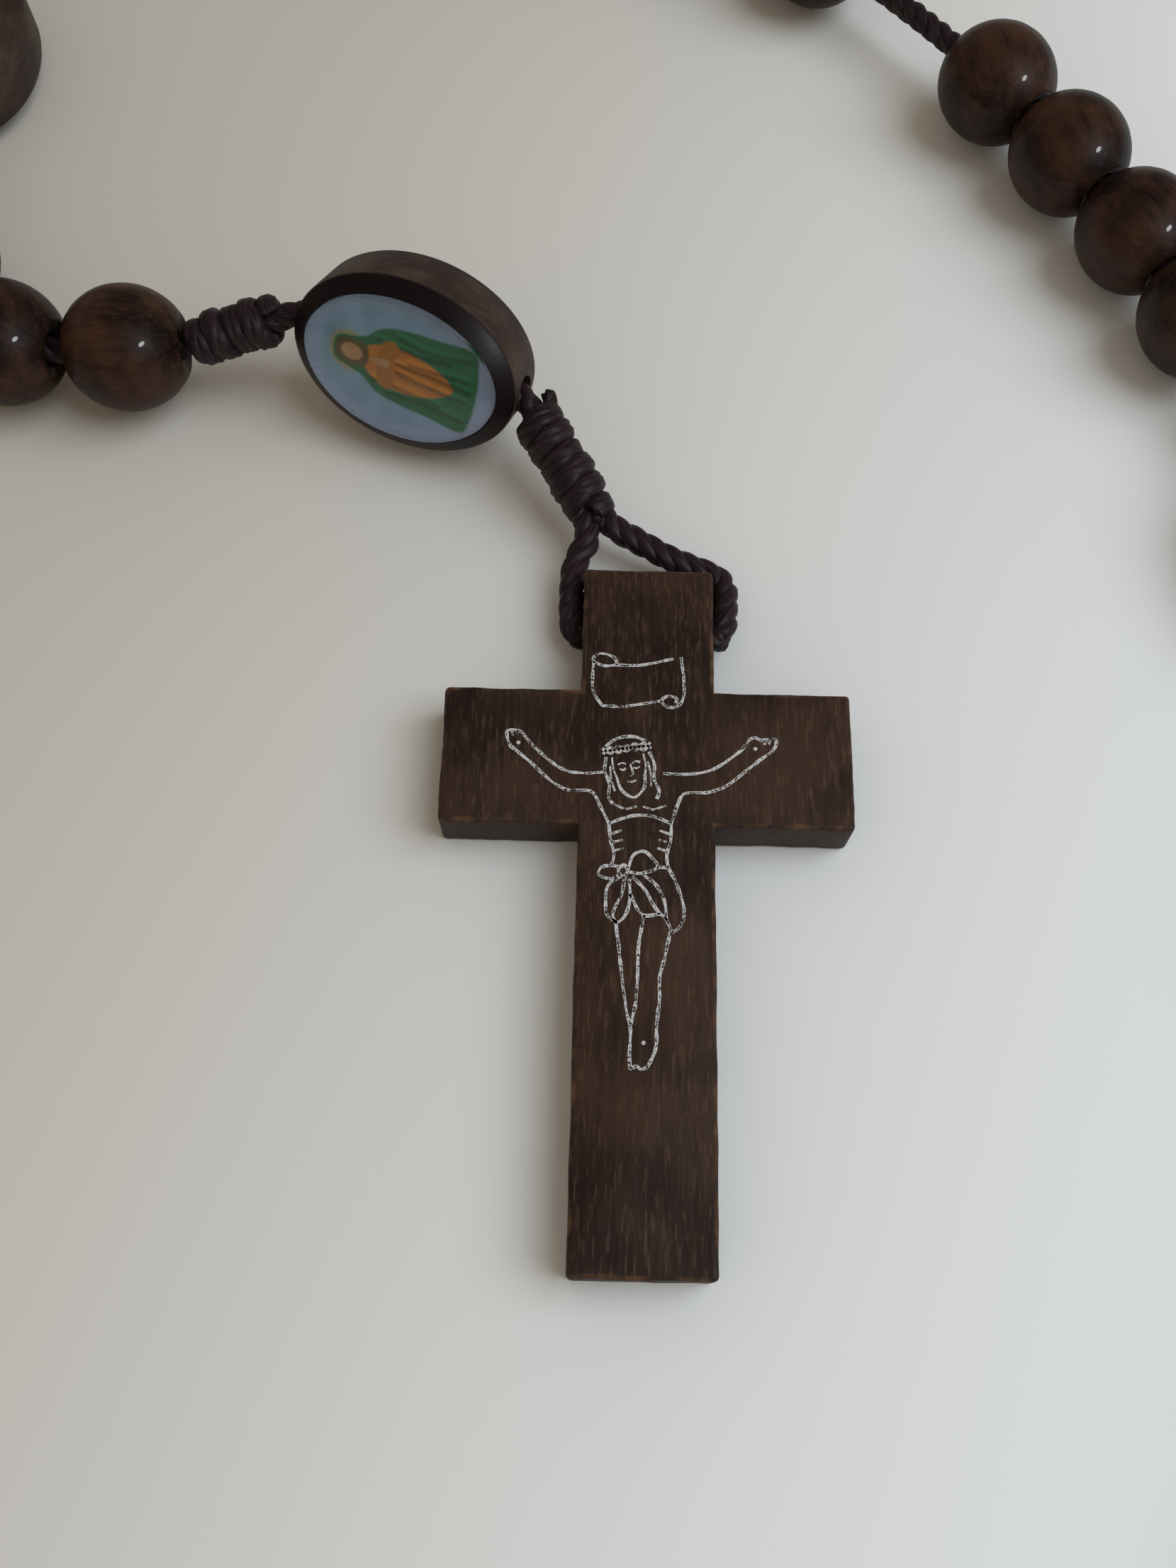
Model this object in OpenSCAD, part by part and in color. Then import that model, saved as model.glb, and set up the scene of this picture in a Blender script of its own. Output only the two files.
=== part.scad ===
// Five-decade rosary of turned wooden beads, oval picture beads and a sawn wooden cross,
// strung and knotted on a twisted cord. It lies on a table with the cross inside the ring.
// Millimetres. +Z is up, and z = 0 is the table that the beads and the cross lie on.
// The origin is the middle of the cross's crossing, on its back face. +Y runs up the stem.

/* [Cross] */
// Height of the cross from foot to top
cross_h = 39.1; // [32:0.1:46]
// Width of the cross over both arms
cross_span = 22.8; // [18:0.1:28]
// Thickness of the wood
cross_t = 3.5; // [3:0.1:4.5]
// Width of the upright stem
stem_w = 7.5; // [6:0.1:9]
// Height of the crossbar
arm_w = 8; // [6:0.1:9]
// Distance from the middle of the crossbar to the top of the stem
head_h = 11.7; // [10:0.1:14]
// Easing of every sawn edge
cross_edge = 0.4; // [0.2:0.05:0.6]
// Diameter of the hole drilled sideways through the head
cross_hole_d = 2; // [1.85:0.05:2.2]
// Distance from the top of the stem down to that hole
cross_hole_drop = 3.6; // [3:0.1:5]

/* [Round beads] */
// Diameter of a round bead
bead_d = 8; // [7:0.1:8.6]
// Length of a round bead along the cord
bead_len = 7; // [6.2:0.1:7.4]
// Diameter of the hole through a round bead
bead_bore_d = 2; // [1.9:0.05:2.4]
// Depth of the countersink at each end of that hole
bead_sink = 0.3; // [0.1:0.05:0.5]
// Gap between neighbouring beads
bead_gap = 0.3; // [0.25:0.05:0.6]
// Bare cord in each decade, along which its beads can slide
decade_slack = 9.5; // [6:0.1:14]

/* [Oval picture beads] */
// Length of an oval bead along the cord
oval_len = 14.2; // [12:0.1:16]
// Width of an oval bead
oval_w = 10.5; // [9:0.1:12]
// Thickness of an oval bead
oval_t = 5; // [4.4:0.1:5.6]
// Rounding of the oval bead's edge
oval_edge = 1.1; // [0.6:0.1:1.4]
// Diameter of the hole along an oval bead
oval_bore_d = 2.4; // [2.3:0.05:2.6]
// Width of the wooden rim round the picture
oval_rim = 1; // [0.8:0.1:1.6]
// Thickness of the printed picture
picture_t = 0.25; // [0.15:0.05:0.35]
// Thickness of the clear dome at its edge
dome_edge = 0.4; // [0.3:0.05:0.5]
// Rise of the clear dome in its middle
dome_rise = 0.4; // [0.2:0.05:0.7]
// Gap round the picture and the dome in their seat
seat_gap = 0.05; // [0.02:0.01:0.1]

/* [Cord and knots] */
// Diameter of the twisted cord
cord_d = 1.6; // [1.3:0.05:1.7]
// Diameter of the cord where it is pulled tight in a knot
wrap_d = 0.75; // [0.6:0.05:0.8]
// Gap between a knot's wraps and the cord inside
wrap_gap = 0.1; // [0.05:0.01:0.15]
// Length of a barrel knot
knot_len = 5.9; // [5.7:0.1:7]
// Length of the knot above the cross
loop_knot_len = 7.5; // [7:0.1:9]
// Bare cord between a knot and the oval bead that it bends away from
oval_lead = 1.4; // [1.4:0.1:2.5]
// Bare cord between a knot and the round bead that it bends away from
bead_lead = 0.8; // [0.8:0.1:1.5]
// Bare cord between a knot and its neighbour in the ring
ring_lead = 0.5; // [0.4:0.1:1]
// Bare cord between the last bead of the pendant and the knot above it
upper_lead = 1.6; // [0.8:0.1:3]
// Bare cord between the centre oval bead and the junction knot
centre_lead = 5.9; // [1.4:0.1:8]
// Radius of each bend where the ring leaves the junction
junction_r = 12; // [8:0.5:16]
// Bare cord from a junction bend to the ring's first knot
junction_lead = 4; // [1:0.1:6]

/* [Hidden] */
$fn = 48;
DECADES = 5;
DECADE_BEADS = 10;
PENDANT_BEADS = 3;
RING_OVALS = DECADES - 1;
RING_KNOTS = 2 * DECADES;
KNOT_LOOPS = 4;
LOOP_KNOT_LOOPS = 5;
// The slack of the first decade lies after this bead
SLACK_AFTER = 6;
WRAP_RINGS = 12;
WRAP_SIDES = 6;
CORD_SIDES = 8;
LOOP_STEPS = 2;
ARC_STEPS = 64;
BEND_STEPS = 7;
FACE_DOWN = 180;
OVAL_FACETS = 96;
CROWN_FACETS = 400;
SOLVE_STEPS = 12;

wood_dark = "#3a2219";
wood_cross = "#45281c";
cord_colour = "#2b1a1d";
print_colour = "#8ea4ba";
dome_colour = [0.9, 0.95, 1, 0.3];

cord_r = cord_d / 2;
bead_r = bead_d / 2;
bead_pitch = bead_len + bead_gap;
wrap_r = cord_r + wrap_gap + wrap_d / 2;
hole_y = head_h - cross_hole_drop;
hole_z = cross_t / 2;
seat_depth = picture_t + dome_edge;

// Lay of the pendant on the table, from the cross upwards: yaw of each piece about Z, in degrees,
// and the pitch and roll of the oval that leans on its lower edge
loop_knot_yaw = 122.8;
lean_yaw = 159.7;
lean_pitch = 4.6;
lean_roll = -62.9;
pendant_knot_yaw = 188;
pendant_bead_yaw = [186, 171, 88];
upper_knot_yaw = 103;
centre_yaw = 96;
junction_yaw = 89.5;
// Bare cord between the pendant's beads, the second where the cord turns
pendant_gap = [0.8, 4];

function heading(yaw, pitch = 0) = [cos(pitch) * cos(yaw), cos(pitch) * sin(yaw), sin(pitch)];

// Height of an oval bead's centre when its edge rests on the table
function lean_height(pitch, roll) =
    norm([(oval_len / 2 - oval_edge) * sin(pitch), (oval_w / 2 - oval_edge) * cos(pitch) * sin(roll)])
    + (oval_t / 2 - oval_edge) * cos(pitch) * cos(roll) + oval_edge;
// Roll at which an oval bead strung at the beads' height just touches the table
function rest_roll() =
    let (across = oval_w / 2 - oval_edge, up = oval_t / 2 - oval_edge, want = bead_r - oval_edge)
    asin(min(1, want / norm([across, up]))) - atan2(up, across);

// Foot of the knot above the cross, from the middle of the head's top end on the table
loop_knot_off = [-3, 3.6, 2.6];

// Pendant, piece by piece from the knot above the cross to the junction
loop_knot_foot = loop_knot_off + [0, head_h, 0];
lean_z = lean_height(lean_pitch, lean_roll);
loop_run = loop_knot_len + oval_lead;
lean_foot_z = lean_z - oval_len / 2 * sin(lean_pitch);
loop_knot_pitch = asin((lean_foot_z - loop_knot_foot.z) / loop_run);
lean_foot = loop_knot_foot + loop_run * heading(loop_knot_yaw, loop_knot_pitch);
lean_centre = lean_foot + oval_len / 2 * heading(lean_yaw, lean_pitch);
lean_head = lean_foot + oval_len * heading(lean_yaw, lean_pitch);
knot_run = oval_lead + knot_len + bead_lead;
pendant_knot_pitch = asin((bead_r - lean_head.z) / knot_run);
pendant_knot_foot = lean_head + oval_lead * heading(pendant_knot_yaw, pendant_knot_pitch);
pendant_bead_foot = lean_head + knot_run * heading(pendant_knot_yaw, pendant_knot_pitch);
function pendant_bead_at(i) =
    i == 0 ? pendant_bead_foot + bead_len / 2 * heading(pendant_bead_yaw[0])
    : pendant_turn(i) + (bead_len + pendant_gap[i - 1]) / 2 * heading(pendant_bead_yaw[i]);
function pendant_turn(i) =
    pendant_bead_at(i - 1) + (bead_len + pendant_gap[i - 1]) / 2 * heading(pendant_bead_yaw[i - 1]);
pendant_bead_head = pendant_bead_at(2) + bead_len / 2 * heading(pendant_bead_yaw[2]);
// The centre oval lies face down on its dome
centre_z = oval_t / 2 + dome_rise;
upper_run = upper_lead + knot_len + oval_lead;
upper_knot_pitch = asin((centre_z - bead_r) / upper_run);
upper_knot_foot = pendant_bead_head + upper_lead * heading(upper_knot_yaw, upper_knot_pitch);
centre_foot = pendant_bead_head + upper_run * heading(upper_knot_yaw, upper_knot_pitch);
centre_at = centre_foot + oval_len / 2 * heading(centre_yaw);
centre_head = centre_foot + oval_len * heading(centre_yaw);
junction_run = centre_lead + knot_len;
junction_pitch = asin((bead_r - centre_z) / junction_run);
junction_knot_foot = centre_head + centre_lead * heading(junction_yaw, junction_pitch);
junction_head = centre_head + junction_run * heading(junction_yaw, junction_pitch);
// Where the ring's two ends leave the junction knot, side by side
split_at = junction_head + ring_lead * heading(junction_yaw);
split_off = cord_r + wrap_gap;

// Ring: one arc whose radius follows from the length of what is strung on it
decade_len = DECADE_BEADS * bead_pitch + decade_slack;
link_len = 2 * (ring_lead + knot_len + ring_lead) + oval_len;
ring_len = 2 * (junction_lead + knot_len + ring_lead) + DECADES * decade_len + RING_OVALS * link_len;
function split_angle(r) = asin((junction_r + split_off) / (r - junction_r));
function ring_radius(r, n) =
    n == 0 ? r : ring_radius(ring_len / ((360 - 2 * split_angle(r)) * PI / 180), n - 1);
ring_r = ring_radius(ring_len / (2 * PI), SOLVE_STEPS);
split_deg = split_angle(ring_r);
split_reach = sqrt(pow(ring_r - junction_r, 2) - pow(junction_r + split_off, 2));
ring_centre = split_at - split_reach * heading(junction_yaw);
function ring_deg(s) = junction_yaw - split_deg - s / ring_r * 180 / PI;
function decade_start(d) = junction_lead + knot_len + ring_lead + d * (decade_len + link_len);
function oval_start(i) = decade_start(i) + decade_len + ring_lead + knot_len + ring_lead;
// The first decade's slack lies between two of its beads, the others' lies past their last bead
function bead_s(d, i) =
    decade_start(d) + (i + 0.5) * bead_pitch + (d == 0 && i >= SLACK_AFTER ? decade_slack : 0);
// Two knots hold each decade, one before its first bead and one after its last
function knot_s(i) =
    i % 2 == 0 ? decade_start(i / 2) - ring_lead - knot_len / 2
    : decade_start((i - 1) / 2) + decade_len + ring_lead + knot_len / 2;

// Loop through the cross, as points from the hole's left and right mouths up to the knot's foot
loop_left = [[-0.1, 0, 0], [-0.65, 0.25, 0], [-0.9, 0.85, 0], [-0.9, 2, 0], [-0.9, 3.2, 0],
    [-0.7, 4.2, 0.1], [-0.4, 5.1, 0.4], [0.1, 6, 0.7]];
loop_right = [[0.1, 0, 0], [0.65, 0.25, 0], [0.9, 0.85, 0], [0.9, 2, -0.2], [0.9, 3.3, -0.4],
    [0.5, 4.3, -0.5], [-0.3, 4.7, -0.4], [-1.4, 5, -0.2], [-2.6, 5.4, 0.1], [-4.1, 6.1, 0.4],
    [-5.7, 6.9, 0.7]];

function reverse(list) = [for (i = [len(list) - 1 : -1 : 0]) list[i]];
loop_route = concat(
    reverse([for (p = loop_left) p + [-stem_w / 2, hole_y, hole_z]]),
    [for (p = loop_right) p + [stem_w / 2, hole_y, hole_z]]);

// Pendant cord's corners, from the foot of the loop knot to the head of the junction knot
pendant_route = [loop_knot_foot, lean_foot, lean_head, pendant_bead_foot, pendant_turn(1), pendant_turn(2),
    pendant_bead_head, centre_foot, centre_head, junction_head];
corner_cut = 0.7;

// Ring cord: a bend out of the junction, the arc, and a bend back. The arc's points lie just
// outside the ring, so that the straight stretches between them stray as far in as out
ring_reach = ring_r * (3 - cos((180 - split_deg) / ARC_STEPS)) / 2;
function ring_bend(side) =
    let (out = split_reach * heading(junction_yaw))
    let (middle = out + side * (junction_r + split_off) * heading(junction_yaw + 90))
    [for (i = [0 : BEND_STEPS])
        ring_centre + middle
        + junction_r * heading(junction_yaw + side * (i / BEND_STEPS * (90 + split_deg) - 90))];
ring_route = concat(
    ring_bend(1),
    [for (i = [1 : ARC_STEPS - 1])
        ring_centre
        + ring_reach * heading(junction_yaw + split_deg + i / ARC_STEPS * (360 - 2 * split_deg))],
    reverse(ring_bend(-1)));

// Points of a route whose corners are eased by a short curve
function eased(route, cut) = [
    for (i = [0 : len(route) - 1])
        let (p = route[i])
        if (i == 0 || i == len(route) - 1) p
        else let (a = p + cut * unit(route[i - 1] - p), b = p + cut * unit(route[i + 1] - p))
            each [a, (a + 2 * p + b) / 4, b]
];
function unit(v) = v / norm(v);
// Points of a smooth curve through a route's points
function smooth(route, steps) = [
    for (i = [0 : len(route) - 2])
        let (a = route[max(i - 1, 0)], b = route[i])
        let (c = route[i + 1], d = route[min(i + 2, len(route) - 1)])
        for (k = [0 : steps - 1])
            let (t = k / steps)
            0.5 * (2 * b + (c - a) * t + (2 * a - 5 * b + 4 * c - d) * t * t
            + (3 * b - a - 3 * c + d) * t * t * t),
    route[len(route) - 1]
];
function tangent(path, i) = unit(path[min(i + 1, len(path) - 1)] - path[max(i - 1, 0)]);
function square_to(v, t) = unit(v - (v * t) * t);
// Side directions that turn as little as they can along a path
function sides_along(path, i = 0, last = [0.3, 0.2, 0.9]) =
    i == len(path) ? []
    : let (n = square_to(last, tangent(path, i))) concat([n], sides_along(path, i + 1, n));
// A round tube swept along a path, as one closed skin of triangles
module tube(path, d, sides) {
    across = sides_along(path);
    rings = len(path);
    skin = [
        for (i = [0 : rings - 1])
            let (t = tangent(path, i), n = across[i], m = cross(t, n))
            for (k = [0 : sides - 1])
                path[i] + d / 2 * (cos(360 * k / sides) * n + sin(360 * k / sides) * m)
    ];
    wall = [
        for (i = [0 : rings - 2])
            for (k = [0 : sides - 1])
                let (a = i * sides + k, b = i * sides + (k + 1) % sides)
                each [[a, a + sides, b], [b, a + sides, b + sides]]
    ];
    last = (rings - 1) * sides;
    caps = [for (k = [1 : sides - 2]) each [[0, k, k + 1], [last, last + k + 1, last + k]]];
    polyhedron(points = skin, faces = concat(wall, caps), convexity = 10);
}

// Middle line of a knot's wraps round X: turns of a helix, with a straight cut end each way
function wraps(length, loops) =
    let (rise = (length - wrap_d) / loops, steps = loops * WRAP_RINGS,
        turn = [for (i = [0 : steps])
            let (a = 360 * i / WRAP_RINGS)
            [wrap_d / 2 + rise * i / WRAP_RINGS, wrap_r * cos(a), wrap_r * sin(a)]])
    concat([turn[0] - [0, 0, wrap_d]], turn, [turn[steps] + [0, 0, wrap_d]]);
// Least gap between one turn of a knot's wraps and the next
function least_gap(path) = min([
    for (i = [0 : len(path) - 1])
        for (j = [i + WRAP_RINGS / 2 : 1 : len(path) - 1])
            norm(path[i] - path[j]) - wrap_d
]);
echo(least_gap_in_knot = least_gap(wraps(knot_len, KNOT_LOOPS)));
echo(least_gap_in_loop_knot = least_gap(wraps(loop_knot_len, LOOP_KNOT_LOOPS)));

// Places a piece whose X axis is the cord
module on_cord(at, yaw, pitch = 0, roll = 0) {
    translate(at) rotate([0, 0, yaw]) rotate([0, -pitch, 0]) rotate([roll, 0, 0]) children();
}
// Places a piece on the ring, with its X axis the way that the decades are counted
module on_ring(s, roll = 0) {
    deg = ring_deg(s);
    on_cord(ring_centre + ring_r * heading(deg), deg - 90, 0, roll) children();
}

module rounded_rect(w, h, r) {
    square([w - 2 * r, h], center = true);
    square([w, h - 2 * r], center = true);
    for (x = [-1, 1])
        for (y = [-1, 1])
            translate([x * (w / 2 - r), y * (h / 2 - r)]) circle(r);
}
// A sawn block with every edge eased
module eased_block(size, r) {
    intersection() {
        linear_extrude(size.z, center = true) rounded_rect(size.x, size.y, r);
        rotate([90, 0, 0]) linear_extrude(size.y, center = true) rounded_rect(size.x, size.z, r);
        rotate([90, 0, 90]) linear_extrude(size.x, center = true) rounded_rect(size.y, size.z, r);
    }
}
module crucifix() {
    color(wood_cross)
        difference() {
            union() {
                translate([0, head_h - cross_h / 2, cross_t / 2])
                    eased_block([stem_w, cross_h, cross_t], cross_edge);
                translate([0, 0, cross_t / 2])
                    eased_block([cross_span, arm_w, cross_t], cross_edge);
            }
            translate([0, hole_y, hole_z]) rotate([0, 90, 0])
                cylinder(h = 2 * stem_w, d = cross_hole_d, center = true);
        }
}

module round_bead() {
    color(wood_dark)
        rotate([0, 90, 0])
            difference() {
                intersection() {
                    sphere(d = bead_d);
                    cylinder(h = bead_len, d = 2 * bead_d, center = true);
                }
                cylinder(h = 2 * bead_len, d = bead_bore_d, center = true);
                for (end = [0, 180])
                    rotate([end, 0, 0])
                        translate([0, 0, bead_len / 2 - bead_sink])
                            cylinder(h = 2 * bead_sink, d1 = bead_bore_d, d2 = bead_bore_d + 4 * bead_sink);
            }
}
module pendant_bead(i) {
    on_cord(pendant_bead_at(i), pendant_bead_yaw[i]) round_bead();
}
module decade_bead(d, i) {
    on_ring(bead_s(d, i)) round_bead();
}
module decade_beads(d) {
    for (i = [0 : DECADE_BEADS - 1])
        decade_bead(d, i);
}

// Outline of an oval, and a plate of that outline
module oval_outline(length, width) {
    scale([length / width, 1]) circle(d = width, $fn = OVAL_FACETS);
}
module oval_plate(trim, h) {
    linear_extrude(h) oval_outline(oval_len - 2 * trim, oval_w - 2 * trim);
}
// The bead's body: a round profile turned and then drawn out along X
module oval_body() {
    scale([oval_len / oval_w, 1, 1])
        rotate_extrude($fn = OVAL_FACETS)
            intersection() {
                rounded_rect(oval_w, oval_t, oval_edge);
                translate([0, -oval_t]) square([oval_w, 2 * oval_t]);
            }
}
module oval_bead() {
    color(wood_dark)
        difference() {
            oval_body();
            rotate([0, 90, 0]) cylinder(h = 2 * oval_len, d = oval_bore_d, center = true);
            translate([0, 0, oval_t / 2 - seat_depth]) oval_plate(oval_rim, 2 * seat_depth);
        }
}
module oval_picture() {
    color(print_colour)
        translate([0, 0, oval_t / 2 - seat_depth]) oval_plate(oval_rim + seat_gap, picture_t);
}
// A clear plate with a crown that is part of a ball
module oval_dome() {
    trim = oval_rim + seat_gap;
    half_len = oval_len / 2 - trim;
    crown_r = (half_len * half_len + dome_rise * dome_rise) / (2 * dome_rise);
    color(dome_colour)
        translate([0, 0, oval_t / 2 - dome_edge])
            intersection() {
                oval_plate(trim, dome_edge + dome_rise);
                translate([0, 0, dome_edge + dome_rise - crown_r]) sphere(crown_r, $fn = CROWN_FACETS);
            }
}
module oval_piece(piece) {
    if (piece == "") oval_bead();
    if (piece == "_picture") oval_picture();
    if (piece == "_dome") oval_dome();
}
module pendant_oval(piece) {
    on_cord(lean_centre, lean_yaw, lean_pitch, lean_roll) oval_piece(piece);
}
module centre_oval(piece) {
    on_cord(centre_at, centre_yaw, 0, FACE_DOWN) oval_piece(piece);
}
module ring_oval(i, piece) {
    on_ring(oval_start(i) + oval_len / 2, rest_roll()) oval_piece(piece);
}

// A barrel knot along X from the origin
module knot(length, loops) {
    color(cord_colour) tube(wraps(length, loops), wrap_d, WRAP_SIDES);
}
module loop_knot() {
    on_cord(loop_knot_foot, loop_knot_yaw, loop_knot_pitch) knot(loop_knot_len, LOOP_KNOT_LOOPS);
}
module pendant_knot() {
    on_cord(pendant_knot_foot, pendant_knot_yaw, pendant_knot_pitch) knot(knot_len, KNOT_LOOPS);
}
module upper_pendant_knot() {
    on_cord(upper_knot_foot, upper_knot_yaw, upper_knot_pitch) knot(knot_len, KNOT_LOOPS);
}
module junction_knot() {
    on_cord(junction_knot_foot, junction_yaw, junction_pitch) knot(knot_len, KNOT_LOOPS);
}
module ring_knot(i) {
    on_ring(knot_s(i)) translate([-knot_len / 2, 0, 0]) knot(knot_len, KNOT_LOOPS);
}

module cross_loop() {
    color(cord_colour) tube(smooth(loop_route, LOOP_STEPS), cord_d, CORD_SIDES);
}
module pendant_cord() {
    color(cord_colour) tube(eased(pendant_route, corner_cut), cord_d, CORD_SIDES);
}
module ring_cord() {
    color(cord_colour) tube(ring_route, cord_d, CORD_SIDES);
}

crucifix();
cross_loop();
loop_knot();
pendant_knot();
upper_pendant_knot();
junction_knot();
pendant_cord();
ring_cord();
for (piece = ["", "_picture", "_dome"]) {
    pendant_oval(piece);
    centre_oval(piece);
    for (i = [1 : RING_OVALS])
        ring_oval(i - 1, piece);
}
for (i = [1 : PENDANT_BEADS])
    pendant_bead(i - 1);
for (i = [1 : DECADE_BEADS])
    decade_bead(0, i - 1);
for (d = [2 : DECADES])
    decade_beads(d - 1);
for (i = [1 : RING_KNOTS])
    ring_knot(i - 1);
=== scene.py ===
import math
import random

import bmesh
import bpy
import numpy as np
from mathutils import Matrix, Vector, noise


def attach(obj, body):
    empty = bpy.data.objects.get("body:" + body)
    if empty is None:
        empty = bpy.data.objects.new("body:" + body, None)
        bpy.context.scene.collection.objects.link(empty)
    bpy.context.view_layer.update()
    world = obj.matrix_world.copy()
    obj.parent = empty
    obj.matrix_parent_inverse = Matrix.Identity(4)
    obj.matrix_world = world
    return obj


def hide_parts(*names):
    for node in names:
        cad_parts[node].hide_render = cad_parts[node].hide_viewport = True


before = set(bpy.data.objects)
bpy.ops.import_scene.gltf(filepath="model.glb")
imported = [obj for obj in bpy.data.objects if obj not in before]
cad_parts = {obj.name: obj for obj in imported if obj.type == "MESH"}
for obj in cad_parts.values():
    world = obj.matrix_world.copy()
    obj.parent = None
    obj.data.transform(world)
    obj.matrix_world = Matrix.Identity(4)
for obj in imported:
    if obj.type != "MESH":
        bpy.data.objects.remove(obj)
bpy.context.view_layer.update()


# Table, light and camera. The rosary lies on a pale matt table beside a window:
# one large soft light from the right, and a warm dim room round it.

MM = 0.001
TABLE_R = 3.0
TABLE_SIDES = 96
TABLE_DROP = 0.00002
# The table's colour carries painted light: paler and cooler towards the right and near side, where the
# window's light falls, darker and warmer away from it.
TABLE_PAINTED_LIT = (0.86, 0.90, 0.93, 1)
TABLE_PAINTED_DIM = (0.50, 0.465, 0.405, 1)
TABLE_PAINTED_LIT_SIDE = (0.92, -0.38, 0)
TABLE_PAINTED_FALLOFF_FROM = -0.08
TABLE_PAINTED_FALLOFF_TO = 0.078

scene = bpy.context.scene
scene.view_settings.view_transform = "Standard"


def new_material(name):
    """An empty node material, with its nodes, its links and its Principled shader."""
    material = bpy.data.materials.new(name)
    material.use_nodes = True
    nodes = material.node_tree.nodes
    return material, nodes, material.node_tree.links, nodes["Principled BSDF"]


def place_mesh(name, mesh):
    """An object at the origin that shows a mesh."""
    piece = bpy.data.objects.new(name, mesh)
    scene.collection.objects.link(piece)
    return piece


def feed(socket, given):
    """Links a socket to another one, or sets it to a value."""
    if isinstance(given, bpy.types.NodeSocket):
        links.new(given, socket)
    else:
        socket.default_value = given


def mix_colours(factor, first, second):
    """A mix of two colours in the node tree being made, as a socket."""
    mix = nodes.new("ShaderNodeMix")
    mix.data_type = "RGBA"
    feed(mix.inputs["Factor"], factor)
    feed(mix.inputs["A"], first)
    feed(mix.inputs["B"], second)
    return mix.outputs["Result"]


def ranged(value, low=0.0, high=1.0, to_low=0.0, to_high=1.0, way="LINEAR"):
    """A value carried from one range to another in the node tree being made, as a socket."""
    carry = nodes.new("ShaderNodeMapRange")
    carry.interpolation_type = way
    feed(carry.inputs["Value"], value)
    feed(carry.inputs["From Min"], low)
    feed(carry.inputs["From Max"], high)
    feed(carry.inputs["To Min"], to_low)
    feed(carry.inputs["To Max"], to_high)
    return carry.outputs["Result"]


# Painted light falloff: the table's colour runs from the dim warm tone to the pale cool one across it,
# towards the window.
table_painted_falloff, nodes, links, shader = new_material("table_painted_falloff")
across = nodes.new("ShaderNodeVectorMath")
across.operation = "DOT_PRODUCT"
feed(across.inputs[0], nodes.new("ShaderNodeTexCoord").outputs["Object"])
feed(across.inputs[1], TABLE_PAINTED_LIT_SIDE)
painted_falloff = ranged(across.outputs["Value"], TABLE_PAINTED_FALLOFF_FROM, TABLE_PAINTED_FALLOFF_TO, way="SMOOTHERSTEP")
feed(shader.inputs["Base Color"], mix_colours(painted_falloff, TABLE_PAINTED_DIM, TABLE_PAINTED_LIT))
feed(shader.inputs["Roughness"], 0.7)
feed(shader.inputs["Specular IOR Level"], 0.15)

bm = bmesh.new()
bmesh.ops.create_circle(bm, cap_ends=True, radius=TABLE_R, segments=TABLE_SIDES)
bmesh.ops.translate(bm, verts=bm.verts, vec=(0, 0, -TABLE_DROP))
mesh = bpy.data.meshes.new("table")
bm.to_mesh(mesh)
bm.free()
mesh.materials.append(table_painted_falloff)
place_mesh("table", mesh)

LIGHT_AIM = Vector((-0.004, 0.0, 0.0))


def hang_light(name, at, wide, high, energy, colour):
    """An oval light at a place, turned to the cross."""
    light = bpy.data.lights.new(name, "AREA")
    light.shape = "ELLIPSE"
    light.size = wide
    light.size_y = high
    light.energy = energy
    light.color = colour
    piece = bpy.data.objects.new(name, light)
    piece.location = at
    piece.rotation_euler = (LIGHT_AIM - Vector(at)).to_track_quat("-Z", "Y").to_euler()
    scene.collection.objects.link(piece)
    return piece


# The window lights every surface. The varnish, cord and foil mirror its small bright image instead.
window = hang_light("window", at=(0.40, 0.01, 0.57), wide=0.58, high=0.7, energy=3.6,
                    colour=(0.80, 0.90, 1.0))
window.visible_glossy = False
window_image = hang_light("lamp", at=(0.51, -0.30, 0.60), wide=0.18, high=0.1, energy=3.2,
                          colour=(0.92, 0.96, 1.0))
window_image.visible_diffuse = False

# The room: warm light from its walls, a dark ceiling in every reflection.
ROOM_ABOVE = (0.40, 0.345, 0.28, 1)
ROOM_WALLS = (0.50, 0.43, 0.35, 1)
MIRROR_ABOVE = (0.06, 0.056, 0.053, 1)
MIRROR_WALLS = (0.2, 0.185, 0.17, 1)
BACKDROP = (0.78, 0.78, 0.77, 1)
world = bpy.data.worlds.new("room")
scene.world = world
world.use_nodes = True
nodes = world.node_tree.nodes
links = world.node_tree.links
direction = nodes.new("ShaderNodeSeparateXYZ")
feed(direction.inputs["Vector"], nodes.new("ShaderNodeTexCoord").outputs["Generated"])
rays = nodes.new("ShaderNodeLightPath")
lit = mix_colours(direction.outputs["Z"], ROOM_WALLS, ROOM_ABOVE)
mirrored = mix_colours(direction.outputs["Z"], MIRROR_WALLS, MIRROR_ABOVE)
room = mix_colours(rays.outputs["Is Glossy Ray"], lit, mirrored)
room = mix_colours(rays.outputs["Is Camera Ray"], room, BACKDROP)
feed(nodes["Background"].inputs["Color"], room)

CAMERA_AT = Vector((-3.15, -28.93, 76.45)) * MM
CAMERA_LOOK = Vector((-0.0011, 0.3496, -0.9369)).normalized()
CAMERA_UP = Vector((-0.0238, 0.9366, 0.3495)).normalized()
camera = bpy.data.cameras.new("camera")
camera.sensor_fit = "AUTO"
camera.sensor_width = 36
camera.lens = 32.55
camera.clip_start = 0.004
camera_piece = bpy.data.objects.new("camera", camera)
camera_right = CAMERA_LOOK.cross(CAMERA_UP)
turn = Matrix((camera_right, CAMERA_UP, -CAMERA_LOOK)).transposed()
camera_piece.matrix_world = Matrix.Translation(CAMERA_AT) @ turn.to_4x4()
scene.collection.objects.link(camera_piece)
scene.camera = camera_piece


# Twisted cord. Three plies of dark satin nylon laid together, 1.6 mm thick: a loop
# through the cross, the pendant run, and the ring that carries the five decades.
# The beads are strung on it, and its knots keep them in their places.

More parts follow.
